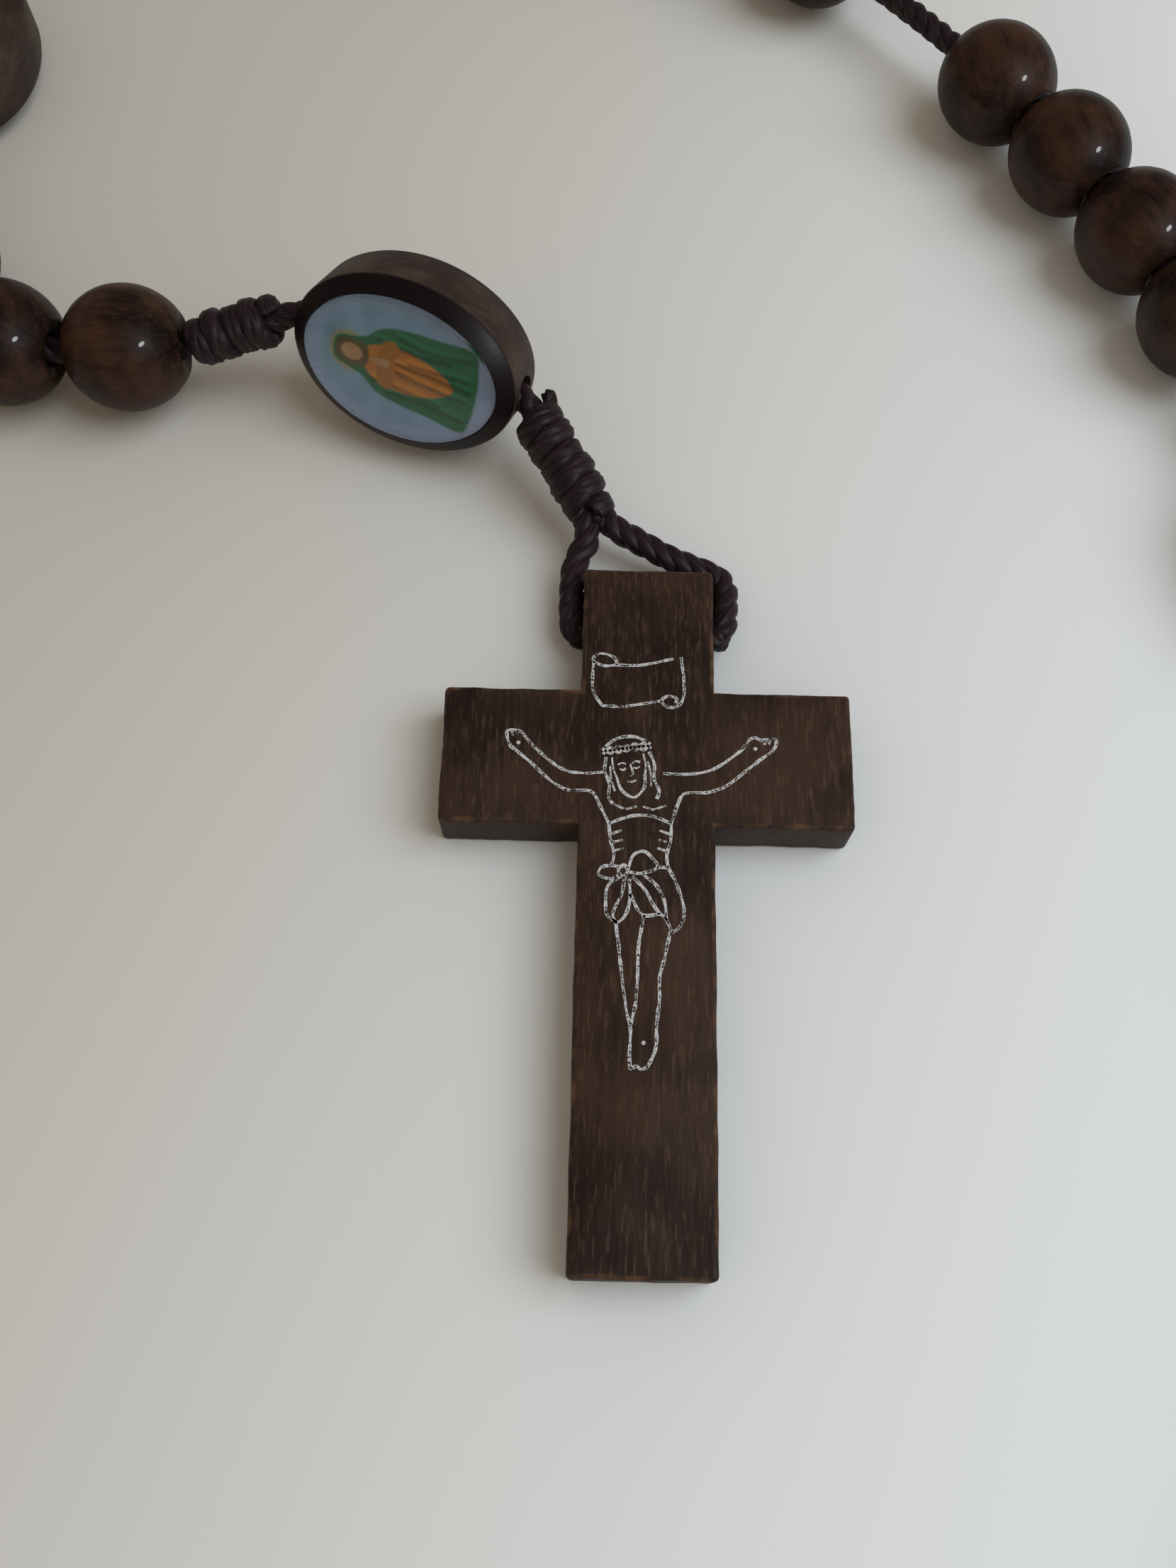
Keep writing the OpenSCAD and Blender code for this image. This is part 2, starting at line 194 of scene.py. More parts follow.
CORD_R = 0.8 * MM
CORD_LAY = 3.5 * MM
PLIES = 3
PLY_OFFSET = 0.38
PLY_R = 0.62
PLY_FACETS = 2
CORD_STEP = 0.22 * MM
RING_STEP = 0.32 * MM
FIBRE_REACH = 0.16
FIBRE_SHIFT = 5
CORD_DARK = (0.0062, 0.0026, 0.0034, 1)
CORD_PALE = (0.036, 0.0175, 0.0205, 1)
CORD_SHEEN = (0.8, 0.62, 0.66, 1)

# The loop in millimetres, from the mouths of the hole through the cross's stem up into its knot.
HOLE_AT = Vector((0, 8.1, 1.75))
CROSS_STEM = 3.75
LOOP_LEFT_MOUTH = HOLE_AT - Vector((CROSS_STEM, 0, 0))
LOOP_RIGHT_MOUTH = HOLE_AT + Vector((CROSS_STEM, 0, 0))
LOOP_LEFT = [
    (0.1, 0.02, 0), (-0.28, 0.14, 0), (-0.56, 0.5, 0), (-0.68, 1.1, 0), (-0.7, 2, 0),
    (-0.7, 3.2, 0), (-0.66, 4.2, 0.1), (-0.4, 5.1, 0.4), (0.1, 6, 0.7),
]
LOOP_RIGHT = [
    (-0.1, 0.02, 0), (0.28, 0.14, 0), (0.62, 0.5, 0), (0.8, 1.1, -0.05), (0.86, 2, -0.2),
    (0.9, 3.3, -0.4), (0.5, 4.3, -0.5), (-0.3, 4.7, -0.4), (-1.4, 5, -0.2),
    (-2.6, 5.4, 0.1), (-4.1, 6.1, 0.4), (-5.7, 6.9, 0.7),
]
LOOP_LEFT_IN_KNOT = [(-4.9, 17.6, 3.2), (-4.1, 16.3, 2.9), (-3.75, 15.2, 2.65)]
LOOP_RIGHT_IN_KNOT = [(-2.75, 15.7, 2.75), (-3.5, 16.5, 3.0), (-4.3, 17.7, 3.3)]

# Lengths and heights of what is strung, in millimetres, with the bare cord between the pieces.
KNOT_LEN = 5.9
LOOP_KNOT_LEN = 7.5
BEAD_LEN = 7.0
BEAD_GAP = 0.3
OVAL_LEN = 14.2
OVAL_LEAD = 1.4
BEAD_LEAD = 0.8
UPPER_LEAD = 1.6
CENTRE_LEAD = 5.9
JUNCTION_LEAD = 4.0
RING_LEAD = 0.5
PENDANT_GAPS = (0.8, 4.0)
SLACK = 9.5
BEADS = 10
DECADES = 5
STRUNG_HEIGHT = 4.0
LEAN_HEIGHT = 5.4495
CENTRE_HEIGHT = 2.9

# How the pendant lies, in degrees: yaw from the cross's right, pitch off the table, roll about the cord.
LOOP_KNOT_FOOT = Vector((-3, 15.3, 2.6))
LOOP_KNOT_YAW = 122.8
LEAN_YAW = 159.7
LEAN_PITCH = 4.6
LEAN_ROLL = -62.9
PENDANT_KNOT_YAW = 188
PENDANT_BEAD_YAWS = (186, 171, 88)
UPPER_KNOT_YAW = 103
CENTRE_YAW = 96
JUNCTION_YAW = 89.5
CORNER_CUT = 0.7

# The ring leaves the junction knot in two bends, from ends that lie side by side in the knot.
SPLIT_OFF = 0.9
BEND_R = 12
BEND_STEPS = 16
ARC_STEPS = 240
SOLVE_STEPS = 12
JUNCTION_ENDS = [(2.4, 0.4, -0.2), (1.0, 0.62, -0.05)]


def heading(yaw, pitch=0.0):
    """The direction at a yaw from the cross's right and a pitch off the table."""
    turn = math.radians(yaw)
    rise = math.radians(pitch)
    return Vector((math.cos(turn) * math.cos(rise), math.sin(turn) * math.cos(rise), math.sin(rise)))


def climb(run, rise):
    """The pitch at which a straight run gains a height."""
    return math.degrees(math.asin(rise / run))


# The pendant, piece by piece from the knot above the cross to the junction.
loop_knot_run = LOOP_KNOT_LEN + OVAL_LEAD
lean_way = heading(LEAN_YAW, LEAN_PITCH)
loop_knot_pitch = climb(loop_knot_run, LEAN_HEIGHT - OVAL_LEN / 2 * lean_way.z - LOOP_KNOT_FOOT.z)
lean_foot = LOOP_KNOT_FOOT + loop_knot_run * heading(LOOP_KNOT_YAW, loop_knot_pitch)
lean_middle = lean_foot + OVAL_LEN / 2 * lean_way
lean_head = lean_foot + OVAL_LEN * lean_way

pendant_knot_run = OVAL_LEAD + KNOT_LEN + BEAD_LEAD
pendant_knot_pitch = climb(pendant_knot_run, STRUNG_HEIGHT - lean_head.z)
pendant_knot_way = heading(PENDANT_KNOT_YAW, pendant_knot_pitch)
pendant_knot_foot = lean_head + OVAL_LEAD * pendant_knot_way
corner = lean_head + pendant_knot_run * pendant_knot_way
pendant_corners = [LOOP_KNOT_FOOT, lean_foot, lean_head, corner]
pendant_beads = []
reaches = [BEAD_LEN / 2, *[(BEAD_LEN + gap) / 2 for gap in PENDANT_GAPS], BEAD_LEN / 2]
for yaw, before, after in zip(PENDANT_BEAD_YAWS, reaches, reaches[1:]):
    middle = corner + before * heading(yaw)
    corner = middle + after * heading(yaw)
    pendant_beads.append((middle, yaw))
    pendant_corners.append(corner)

upper_knot_run = UPPER_LEAD + KNOT_LEN + OVAL_LEAD
upper_knot_pitch = climb(upper_knot_run, CENTRE_HEIGHT - STRUNG_HEIGHT)
upper_knot_way = heading(UPPER_KNOT_YAW, upper_knot_pitch)
upper_knot_foot = corner + UPPER_LEAD * upper_knot_way
centre_foot = corner + upper_knot_run * upper_knot_way
centre_middle = centre_foot + OVAL_LEN / 2 * heading(CENTRE_YAW)
centre_head = centre_foot + OVAL_LEN * heading(CENTRE_YAW)

junction_run = CENTRE_LEAD + KNOT_LEN
junction_pitch = climb(junction_run, STRUNG_HEIGHT - CENTRE_HEIGHT)
junction_way = heading(JUNCTION_YAW, junction_pitch)
junction_knot_foot = centre_head + CENTRE_LEAD * junction_way
junction_head = centre_head + junction_run * junction_way
pendant_corners += [centre_foot, centre_head, junction_head]

# The ring: one arc whose radius follows from the length of what is strung on it.
bead_pitch = BEAD_LEN + BEAD_GAP
decade_len = BEADS * bead_pitch + SLACK
link_len = 2 * (RING_LEAD + KNOT_LEN + RING_LEAD) + OVAL_LEN
first_start = JUNCTION_LEAD + KNOT_LEN + RING_LEAD
ring_len = 2 * first_start + DECADES * decade_len + (DECADES - 1) * link_len
ring_r = ring_len / (2 * math.pi)
for _ in range(SOLVE_STEPS):
    split_turn = math.asin((BEND_R + SPLIT_OFF) / (ring_r - BEND_R))
    ring_r = ring_len / (2 * math.pi - 2 * split_turn)
split_deg = math.degrees(split_turn)
split_at = junction_head + RING_LEAD * heading(JUNCTION_YAW)
split_side = heading(JUNCTION_YAW + 90)
split_reach = math.sqrt((ring_r - BEND_R) ** 2 - (BEND_R + SPLIT_OFF) ** 2)
ring_centre = split_at - split_reach * heading(JUNCTION_YAW)


def even_points(points, step):
    """A route's points a step apart, and how far along it each one is."""
    line = np.array([tuple(point) for point in points])
    run = np.r_[0, np.cumsum(np.linalg.norm(np.diff(line, axis=0), axis=1))]
    along = np.linspace(0, run[-1], max(3, round(run[-1] / step) + 1))
    return np.stack([np.interp(along, run, line[:, axis]) for axis in range(3)], 1), along


def flowing(points, steps=12):
    """A smooth line through every point."""
    knots = [np.array(tuple(point), float) for point in points]
    knots = [2 * knots[0] - knots[1]] + knots + [2 * knots[-1] - knots[-2]]
    line = []
    for before, start, end, after in zip(knots, knots[1:], knots[2:], knots[3:]):
        for t in np.linspace(0, 1, steps, endpoint=False):
            line.append(0.5 * (2 * start + (end - before) * t
                               + (2 * before - 5 * start + 4 * end - after) * t ** 2
                               + (3 * start - before - 3 * end + after) * t ** 3))
    return line + [knots[-2]]


def eased(corners, cut, steps=7):
    """A line whose corners are cut and rounded off."""
    points = [np.array(corner, float) for corner in corners]
    line = [points[0]]
    for before, corner, after in zip(points, points[1:], points[2:]):
        start = corner + (before - corner) / np.linalg.norm(before - corner) * cut
        end = corner + (after - corner) / np.linalg.norm(after - corner) * cut
        for t in np.linspace(0, 1, steps):
            line.append((1 - t) ** 2 * start + 2 * t * (1 - t) * corner + t ** 2 * end)
    return line + [points[-1]]


def side_frames(line):
    """Two directions across a route at each point, carried along without twist."""
    tangent = np.gradient(line, axis=0)
    tangent /= np.linalg.norm(tangent, axis=1)[:, None]
    side = np.zeros_like(line)
    last = np.cross(tangent[0], (0, 0, 1.0))
    for index, ahead in enumerate(tangent):
        last = last - ahead * np.dot(ahead, last)
        last = last / np.linalg.norm(last)
        side[index] = last
    return side, np.cross(tangent, side)


def lay_plies(curve, line, along, side, other, offsets, lay, start=0.0, girth=1.0):
    """Three plies twisted round a route; offsets are their reach along the two sides."""
    for ply in range(PLIES):
        angle = 2 * math.pi * (along / lay + ply / PLIES) + start
        reach = np.cos(angle)[:, None] * side * offsets[0]
        reach = reach + np.sin(angle)[:, None] * other * offsets[1]
        spline = curve.splines.new("POLY")
        spline.points.add(len(line) - 1)
        spline.points.foreach_set("co", np.c_[line + reach, np.ones(len(line))].ravel())
        spline.points.foreach_set("radius", np.full(len(line), girth))


def new_ply_curve(name, ply_radius):
    """A curve whose splines are round plies."""
    curve = bpy.data.curves.new(name, "CURVE")
    curve.dimensions = "3D"
    curve.bevel_depth = ply_radius
    curve.bevel_resolution = PLY_FACETS
    return curve


def ply_mesh(name, curve):
    """The plies as a mesh, with the run of their fibres kept on its points."""
    lengths = []
    for spline in curve.splines:
        points = np.empty(len(spline.points) * 4)
        spline.points.foreach_get("co", points)
        steps = np.diff(points.reshape(-1, 4)[:, :3], axis=0)
        lengths.append(np.r_[0, np.cumsum(np.linalg.norm(steps, axis=1))])
    holder = place_mesh(name + "_route", curve)
    shape = holder.evaluated_get(bpy.context.evaluated_depsgraph_get())
    mesh = bpy.data.meshes.new_from_object(shape)
    bpy.data.objects.remove(holder)
    rings = sum(len(run) for run in lengths)
    facets = len(mesh.vertices) // rings
    around = 2 * math.pi * np.arange(facets) / facets
    fibre = []
    for number, run in enumerate(lengths):
        turn = np.tile(around, len(run))
        reach = np.repeat(run / MM * FIBRE_REACH, facets)
        fibre.append(np.c_[np.cos(turn) + FIBRE_SHIFT * number, np.sin(turn), reach])
    layer = mesh.attributes.new("fibre", "FLOAT_VECTOR", "POINT")
    layer.data.foreach_set("vector", np.concatenate(fibre).ravel())
    bm = bmesh.new()
    bm.from_mesh(mesh)
    bmesh.ops.holes_fill(bm, edges=[edge for edge in bm.edges if edge.is_boundary])
    bmesh.ops.recalc_face_normals(bm, faces=bm.faces)
    bm.to_mesh(mesh)
    bm.free()
    mesh.shade_smooth()
    return mesh


def attribute(name):
    """A named attribute of the mesh, as a node of the tree being made."""
    read = nodes.new("ShaderNodeAttribute")
    read.attribute_name = name
    return read


def noise_on(vector, scale, detail, roughness=0.5):
    """A noise pattern on a vector in the node tree being made, as a socket."""
    pattern = nodes.new("ShaderNodeTexNoise")
    feed(pattern.inputs["Vector"], vector)
    feed(pattern.inputs["Scale"], scale)
    feed(pattern.inputs["Detail"], detail)
    feed(pattern.inputs["Roughness"], roughness)
    return pattern.outputs["Fac"]


def raise_relief(height, strength, distance):
    """Fine relief on the shader being made."""
    relief = nodes.new("ShaderNodeBump")
    feed(relief.inputs["Height"], height)
    feed(relief.inputs["Strength"], strength)
    feed(relief.inputs["Distance"], distance)
    feed(shader.inputs["Normal"], relief.outputs["Normal"])


cord_nylon, nodes, links, shader = new_material("cord_nylon")
streak = noise_on(attribute("fibre").outputs["Vector"], scale=3.2, detail=4)
tone = nodes.new("ShaderNodeValToRGB")
tone.color_ramp.elements[0].position = 0.3
tone.color_ramp.elements[0].color = CORD_DARK
tone.color_ramp.elements[1].position = 0.75
tone.color_ramp.elements[1].color = CORD_PALE
feed(tone.inputs["Fac"], streak)
feed(shader.inputs["Base Color"], tone.outputs["Color"])
feed(shader.inputs["Roughness"], ranged(streak, to_low=0.4, to_high=0.62))
raise_relief(streak, strength=0.8, distance=0.06 * MM)
feed(shader.inputs["Specular IOR Level"], 0.25)
feed(shader.inputs["Sheen Weight"], 0.02)
feed(shader.inputs["Sheen Roughness"], 0.45)
feed(shader.inputs["Sheen Tint"], CORD_SHEEN)


def finish_cord(name, curve, *cord_nodes):
    """A laid cord in place of its plain solids."""
    mesh = ply_mesh(name, curve)
    mesh.materials.append(cord_nylon)
    piece = place_mesh(name, mesh)
    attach(piece, "cord")
    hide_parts(*cord_nodes)


def lay_cord(curve, route, step):
    """The cord along a route given in millimetres."""
    line, along = even_points([Vector(point) * MM for point in route], step)
    side, other = side_frames(line)
    offset = PLY_OFFSET * CORD_R
    lay_plies(curve, line, along, side, other, (offset, offset), CORD_LAY)


loop_route = [Vector(point) for point in LOOP_LEFT_IN_KNOT]
loop_route += [LOOP_LEFT_MOUTH + Vector(point) for point in reversed(LOOP_LEFT)]
loop_route += [LOOP_RIGHT_MOUTH + Vector(point) for point in LOOP_RIGHT]
loop_route += [Vector(point) for point in LOOP_RIGHT_IN_KNOT]
loop_curve = new_ply_curve("cross_loop_plies", PLY_R * CORD_R)
lay_cord(loop_curve, flowing(loop_route), CORD_STEP)
finish_cord("cross_loop_cord", loop_curve, "cross_loop")

pendant_curve = new_ply_curve("pendant_plies", PLY_R * CORD_R)
lay_cord(pendant_curve, eased(pendant_corners, CORNER_CUT), CORD_STEP)
finish_cord("pendant_run_cord", pendant_curve, "pendant_cord")

ring_ends = []
for way in (-1, 1):
    in_knot = [split_at - back * heading(JUNCTION_YAW) + way * off * split_side + Vector((0, 0, lift))
               for back, off, lift in JUNCTION_ENDS]
    bend_centre = split_at + way * (BEND_R + SPLIT_OFF) * split_side
    bend = [bend_centre - way * BEND_R * heading(JUNCTION_YAW + 90 + way * (90 - degrees))
            for degrees in np.linspace(90, -split_deg, BEND_STEPS)]
    ring_ends.append(in_knot + bend)
ring_arc = [ring_centre + ring_r * heading(JUNCTION_YAW - degrees)
            for degrees in np.linspace(split_deg, 360 - split_deg, ARC_STEPS)]
ring_curve = new_ply_curve("ring_plies", PLY_R * CORD_R)
lay_cord(ring_curve, ring_ends[0][:-1] + ring_arc + ring_ends[1][-2::-1], RING_STEP)
finish_cord("ring_run_cord", ring_curve, "ring_cord")


# Knots. Barrel knots of the same nylon, wound round the cord and pulled tight: one
# closes the cross loop, three lie on the pendant, and one stands at each end of
# every decade. The loop's cut end stands out of its knot.

WRAP_WIDE = 1.32 * MM
WRAP_PATH_R = 1.04 * MM
WRAP_OFFSETS = (0.05 * MM, 0.27 * MM)
WRAP_PLY_R = 0.5 * MM
WRAP_LAY = 4.2 * MM
WRAP_STEP = 0.14 * MM
WRAP_EXTRA_TURN = 0.35
WAVER = 0.07 * MM
WAVER_WAVES = (1, 2, 3)
WAVER_PITCH = 0.37
WAVER_SWAY = 0.6
PHASES = 6
TUCK_R = 0.74 * MM
TUCK_TURNS = 0.32
LOOP_KNOT_SPREAD = 0.6
PENDANT_KNOT_SPREAD = 0.45
RING_KNOT_SEED = 20

# The cut end in millimetres, from inside the knot's head to just past it.
STUB_POINTS = [(-1.4, -0.55, 0.4), (-0.6, -0.95, 0.6), (0.1, -1.25, 0.65)]
STUB_OFFSET = 0.2 * MM
STUB_GIRTH = 0.55


def decade_start(decade):
    """How far along the ring a decade's first bead begins, in millimetres from the split."""
    return first_start + decade * (decade_len + link_len)


def on_cord(at, yaw, pitch=0.0, roll=0.0):
    """The place of a strung piece whose own X runs along the cord."""
    spin = Matrix.Rotation(math.radians(yaw), 4, "Z")
    spin = spin @ Matrix.Rotation(math.radians(-pitch), 4, "Y")
    spin = spin @ Matrix.Rotation(math.radians(roll), 4, "X")
    return Matrix.Translation(Vector(at) * MM) @ spin


def on_ring(run, roll=0.0):
    """The place of a piece strung on the ring, a run in millimetres from the split."""
    degrees = JUNCTION_YAW - split_deg - math.degrees(run / ring_r)
    return on_cord(ring_centre + ring_r * heading(degrees), degrees - 90, 0, roll)


def placed(matrix, line):
    """Points moved to a place."""
    turn = np.array(matrix.to_3x3())
    return line @ turn.T + np.array(matrix.translation)


def wind_knot(name, node, place, length, seed, stub=False):
    """A barrel knot of a length in millimetres, from the foot at its place along its own X."""
    chance = random.Random(seed)
    run = length * MM - WRAP_WIDE
    turns = run / WRAP_WIDE + WRAP_EXTRA_TURN
    share = np.linspace(0, 1, round(turns * 2 * math.pi * WRAP_PATH_R / WRAP_STEP))
    turn = 2 * math.pi * (turns * share + chance.random())
    waver = sum(WAVER / wave * np.sin(turn * (WAVER_PITCH * wave) + chance.uniform(0, PHASES))
                for wave in WAVER_WAVES)
    tuck = np.clip(np.minimum(share, 1 - share) / (TUCK_TURNS / turns), 0, 1)
    radius = TUCK_R + (WRAP_PATH_R + waver - TUCK_R) * np.sin(tuck * math.pi / 2)
    outward = np.stack([np.zeros_like(turn), np.cos(turn), np.sin(turn)], 1)
    line = outward * radius[:, None]
    line[:, 0] = WRAP_WIDE / 2 + run * share + WAVER_SWAY * waver
    along = np.r_[0, np.cumsum(np.linalg.norm(np.diff(line, axis=0), axis=1))]
    tangent = np.gradient(line, axis=0)
    tangent /= np.linalg.norm(tangent, axis=1)[:, None]
    across = np.cross(tangent, outward)
    turned = np.array(place.to_3x3())
    curve = new_ply_curve(name + "_plies", WRAP_PLY_R)
    lay_plies(curve, placed(place, line), along, outward @ turned.T, across @ turned.T,
              WRAP_OFFSETS, WRAP_LAY, chance.uniform(0, PHASES))
    if stub:
        end = [place @ (Vector((length + x, y, z)) * MM) for x, y, z in STUB_POINTS]
        stub_line, stub_along = even_points(end, CORD_STEP)
        side, other = side_frames(stub_line)
        lay_plies(curve, stub_line, stub_along, side, other, (STUB_OFFSET, STUB_OFFSET), CORD_LAY,
                  girth=STUB_GIRTH)
    finish_cord(name, curve, node)


wind_knot("loop_knot_wraps", "loop_knot", on_cord(LOOP_KNOT_FOOT, LOOP_KNOT_YAW, loop_knot_pitch),
          LOOP_KNOT_LEN + LOOP_KNOT_SPREAD, seed=3, stub=True)
wind_knot("pendant_knot_wraps", "pendant_knot",
          on_cord(pendant_knot_foot, PENDANT_KNOT_YAW, pendant_knot_pitch),
          KNOT_LEN + PENDANT_KNOT_SPREAD, seed=8)
wind_knot("upper_knot_wraps", "upper_pendant_knot",
          on_cord(upper_knot_foot, UPPER_KNOT_YAW, upper_knot_pitch), KNOT_LEN, seed=11)
wind_knot("junction_knot_wraps", "junction_knot",
          on_cord(junction_knot_foot, JUNCTION_YAW, junction_pitch), KNOT_LEN, seed=14)
for decade in range(DECADES):
    foot = decade_start(decade) - RING_LEAD - KNOT_LEN
    for half, knot_foot in enumerate((foot, decade_start(decade) + decade_len + RING_LEAD)):
        number = 2 * decade + half + 1
        place = on_ring(knot_foot + KNOT_LEN / 2) @ Matrix.Translation((-KNOT_LEN / 2 * MM, 0, 0))
        wind_knot(f"ring_knot_{number}_wraps", f"ring_knot_{number}", place, KNOT_LEN,
                  seed=RING_KNOT_SEED + number)


# Round beads. Turned dark hardwood a little under 8 mm across, drilled and
# countersunk, stained and thinly varnished: three on the pendant, ten to a decade.

BEAD_R = 3.8
BORE_R = 1.0
LIP_R = 1.8
# The countersink from the bore to the lip: depth below the bead's end, then radius.
SINK_SECTION = [(0.4, BORE_R), (0.3, 1.05), (0.06, 1.62), (0.01, 1.7)]
BEAD_STEPS = 40
BEAD_ARC = 24
BEAD_SHARP = math.radians(50)
MERGE_WITHIN = 1e-5
SLACK_AFTER = 6
GRAIN_SHIFT = 90
GRAIN_LEAN = 0.5

# Streaks, patches and pale dashes of a straight-grained dark wood, on a grain vector.
STREAK_STRETCH = (0.13, 1, 1)
DASH_STRETCH = (0.16, 1, 1)
STREAK_WEIGHT = 0.55
FIGURE_SOCKETS = {
    "Grain": "Vector", "Dark": "Color", "Warm": "Color", "Fleck": "Color",
    "Streak Scale": "Float", "Patch Scale": "Float", "Fleck Share": "Float",
}
wood_figure = bpy.data.node_groups.new("wood_figure", "ShaderNodeTree")
nodes = wood_figure.nodes
links = wood_figure.links
for socket, kind in FIGURE_SOCKETS.items():
    wood_figure.interface.new_socket(socket, in_out="INPUT", socket_type="NodeSocket" + kind)
wood_figure.interface.new_socket("Color", in_out="OUTPUT", socket_type="NodeSocketColor")
wood_figure.interface.new_socket("Height", in_out="OUTPUT", socket_type="NodeSocketFloat")
given = nodes.new("NodeGroupInput").outputs


def stretched(vector, scale):
    """A vector with its own scale along each axis in the node tree being made, as a socket."""
    mapping = nodes.new("ShaderNodeMapping")
    feed(mapping.inputs["Vector"], vector)
    feed(mapping.inputs["Scale"], scale)
    return mapping.outputs["Vector"]


def math_node(operation, first, second=None, third=None):
    """A sum on values or sockets in the node tree being made, as a socket."""
    node = nodes.new("ShaderNodeMath")
    node.operation = operation
    for slot, value in enumerate((first, second, third)):
        if value is not None:
            feed(node.inputs[slot], value)
    return node.outputs["Value"]


long_grain = stretched(given["Grain"], STREAK_STRETCH)
streak = noise_on(long_grain, given["Streak Scale"], detail=5, roughness=0.62)
patch = noise_on(given["Grain"], given["Patch Scale"], detail=2)
blend = math_node("MULTIPLY_ADD", streak, STREAK_WEIGHT, patch)
warmth = ranged(blend, low=0.55, high=1.05, way="SMOOTHSTEP")
fine = noise_on(stretched(given["Grain"], DASH_STRETCH), scale=5.6, detail=3)
dashes = math_node("MULTIPLY", ranged(fine, low=0.54, high=0.74), given["Fleck Share"])
stained = mix_colours(warmth, given["Dark"], given["Warm"])
result = nodes.new("NodeGroupOutput").inputs
feed(result["Color"], mix_colours(dashes, stained, given["Fleck"]))
feed(result["Height"], streak)


def figured(grain, **values):
    """The wood figure on a grain vector, as the outputs of a node with that wood's own values."""
    figure = nodes.new("ShaderNodeGroup")
    figure.node_tree = wood_figure
    feed(figure.inputs["Grain"], grain)
    for name, value in values.items():
        feed(figure.inputs[name.replace("_", " ").title()], value)
    return figure.outputs


bead_wood, nodes, links, shader = new_material("bead_wood")
figure = figured(attribute("grain").outputs["Vector"], dark=(0.0066, 0.0028, 0.0025, 1),
                 warm=(0.05, 0.0215, 0.0115, 1), fleck=(0.085, 0.042, 0.022, 1),
                 streak_scale=2.0, patch_scale=0.32, fleck_share=0.3)
feed(shader.inputs["Base Color"], figure["Color"])
raise_relief(figure["Height"], strength=0.12, distance=0.05 * MM)
feed(shader.inputs["Roughness"], 0.48)
feed(shader.inputs["Specular IOR Level"], 0.13)
feed(shader.inputs["Coat Weight"], 0.13)
feed(shader.inputs["Coat Roughness"], 0.06)


def spun(name, section, axis, steps, closed=False):
    """A mesh turned from points of a section, about an axis through the middle."""
    bm = bmesh.new()
    line = [bm.verts.new(point) for point in section]
    edges = [bm.edges.new(pair) for pair in zip(line, line[1:] + line[:1] if closed else line[1:])]
    bmesh.ops.spin(bm, geom=line + edges, cent=(0, 0, 0), axis=axis,
                   angle=2 * math.pi, steps=steps, use_merge=True)
    bmesh.ops.remove_doubles(bm, verts=bm.verts, dist=MERGE_WITHIN)
    bmesh.ops.recalc_face_normals(bm, faces=bm.faces)
    mesh = bpy.data.meshes.new(name)
    bm.to_mesh(mesh)
    bm.free()
    return mesh


# One bead about its own X, in millimetres.
lip = math.asin(LIP_R / BEAD_R)
squash = BEAD_LEN / 2 / (BEAD_R * math.cos(lip))
bead_half = [(0, BORE_R)] + [(BEAD_LEN / 2 - depth, radius) for depth, radius in SINK_SECTION]
bead_half += [(squash * BEAD_R * math.cos(angle), BEAD_R * math.sin(angle))
              for angle in np.linspace(lip, math.pi / 2, BEAD_ARC)]
bead_section = bead_half + [(-x, radius) for x, radius in reversed(bead_half[1:-1])]
bead_shape = spun("turned_bead", [(x, 0, radius) for x, radius in bead_section], (1, 0, 0), BEAD_STEPS,
                  closed=True)


def string_beads(name, node, body, places):
    """The beads of one body, each with its own run of grain."""
    bm = bmesh.new()
    layer = bm.verts.layers.float_vector.new("grain")
    for number, place in enumerate(places):
        chance = random.Random(f"{node} {number}")
        shift = Vector([chance.uniform(-GRAIN_SHIFT, GRAIN_SHIFT) for _ in range(3)])
        lie = Matrix.Rotation(chance.uniform(0, math.pi), 3, "X")
        lie = Matrix.Rotation(chance.uniform(-GRAIN_LEAN, GRAIN_LEAN), 3, "Z") @ lie
        known = len(bm.verts)
        bm.from_mesh(bead_shape)
        bm.verts.ensure_lookup_table()
        new = bm.verts[known:]
        for vert in new:
            vert[layer] = lie @ vert.co + shift
        bmesh.ops.transform(bm, matrix=place @ Matrix.Scale(MM, 4), verts=new)
    mesh = bpy.data.meshes.new(name)
    bm.to_mesh(mesh)
    bm.free()
    mesh.shade_smooth()
    mesh.set_sharp_from_angle(angle=BEAD_SHARP)
    mesh.materials.append(bead_wood)
    piece = place_mesh(name, mesh)
    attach(piece, body)
    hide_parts(node)


def bead_place(decade, number):
    """The place of a bead of a decade; the first decade's slack lies between two of its beads."""
    run = decade_start(decade) + (number + 0.5) * bead_pitch
    return on_ring(run + (SLACK if decade == 0 and number >= SLACK_AFTER else 0))


for number, (at, yaw) in enumerate(pendant_beads, 1):
    string_beads(f"pendant_wood_{number}", f"pendant_bead_{number}", f"pendant_bead_{number}",
                 [on_cord(at, yaw)])
for number in range(BEADS):
    string_beads(f"decade_1_wood_{number + 1}", f"decade_1_bead_{number + 1}",
                 f"decade_1_bead_{number + 1}", [bead_place(0, number)])
for decade in range(1, DECADES):
    string_beads(f"decade_{decade + 1}_wood", f"decade_{decade + 1}_beads", f"decade_{decade + 1}_beads",
                 [bead_place(decade, number) for number in range(BEADS)])


# Oval beads. Larger flat ovals of the same stained wood, with a bevelled shoulder on
# both faces, drilled lengthwise for the cord. The front has a shallow seat that
# holds a picture under clear resin.

OVAL_HALF_W = 5.25
OVAL_BACK = -2.5
OVAL_BORE_R = 1.2
OVAL_STEPS = 112
OVAL_SHARP = math.radians(24)
BORE_STEPS = 28
SEAT_R = 4.25
SEAT_FLOOR = 1.85
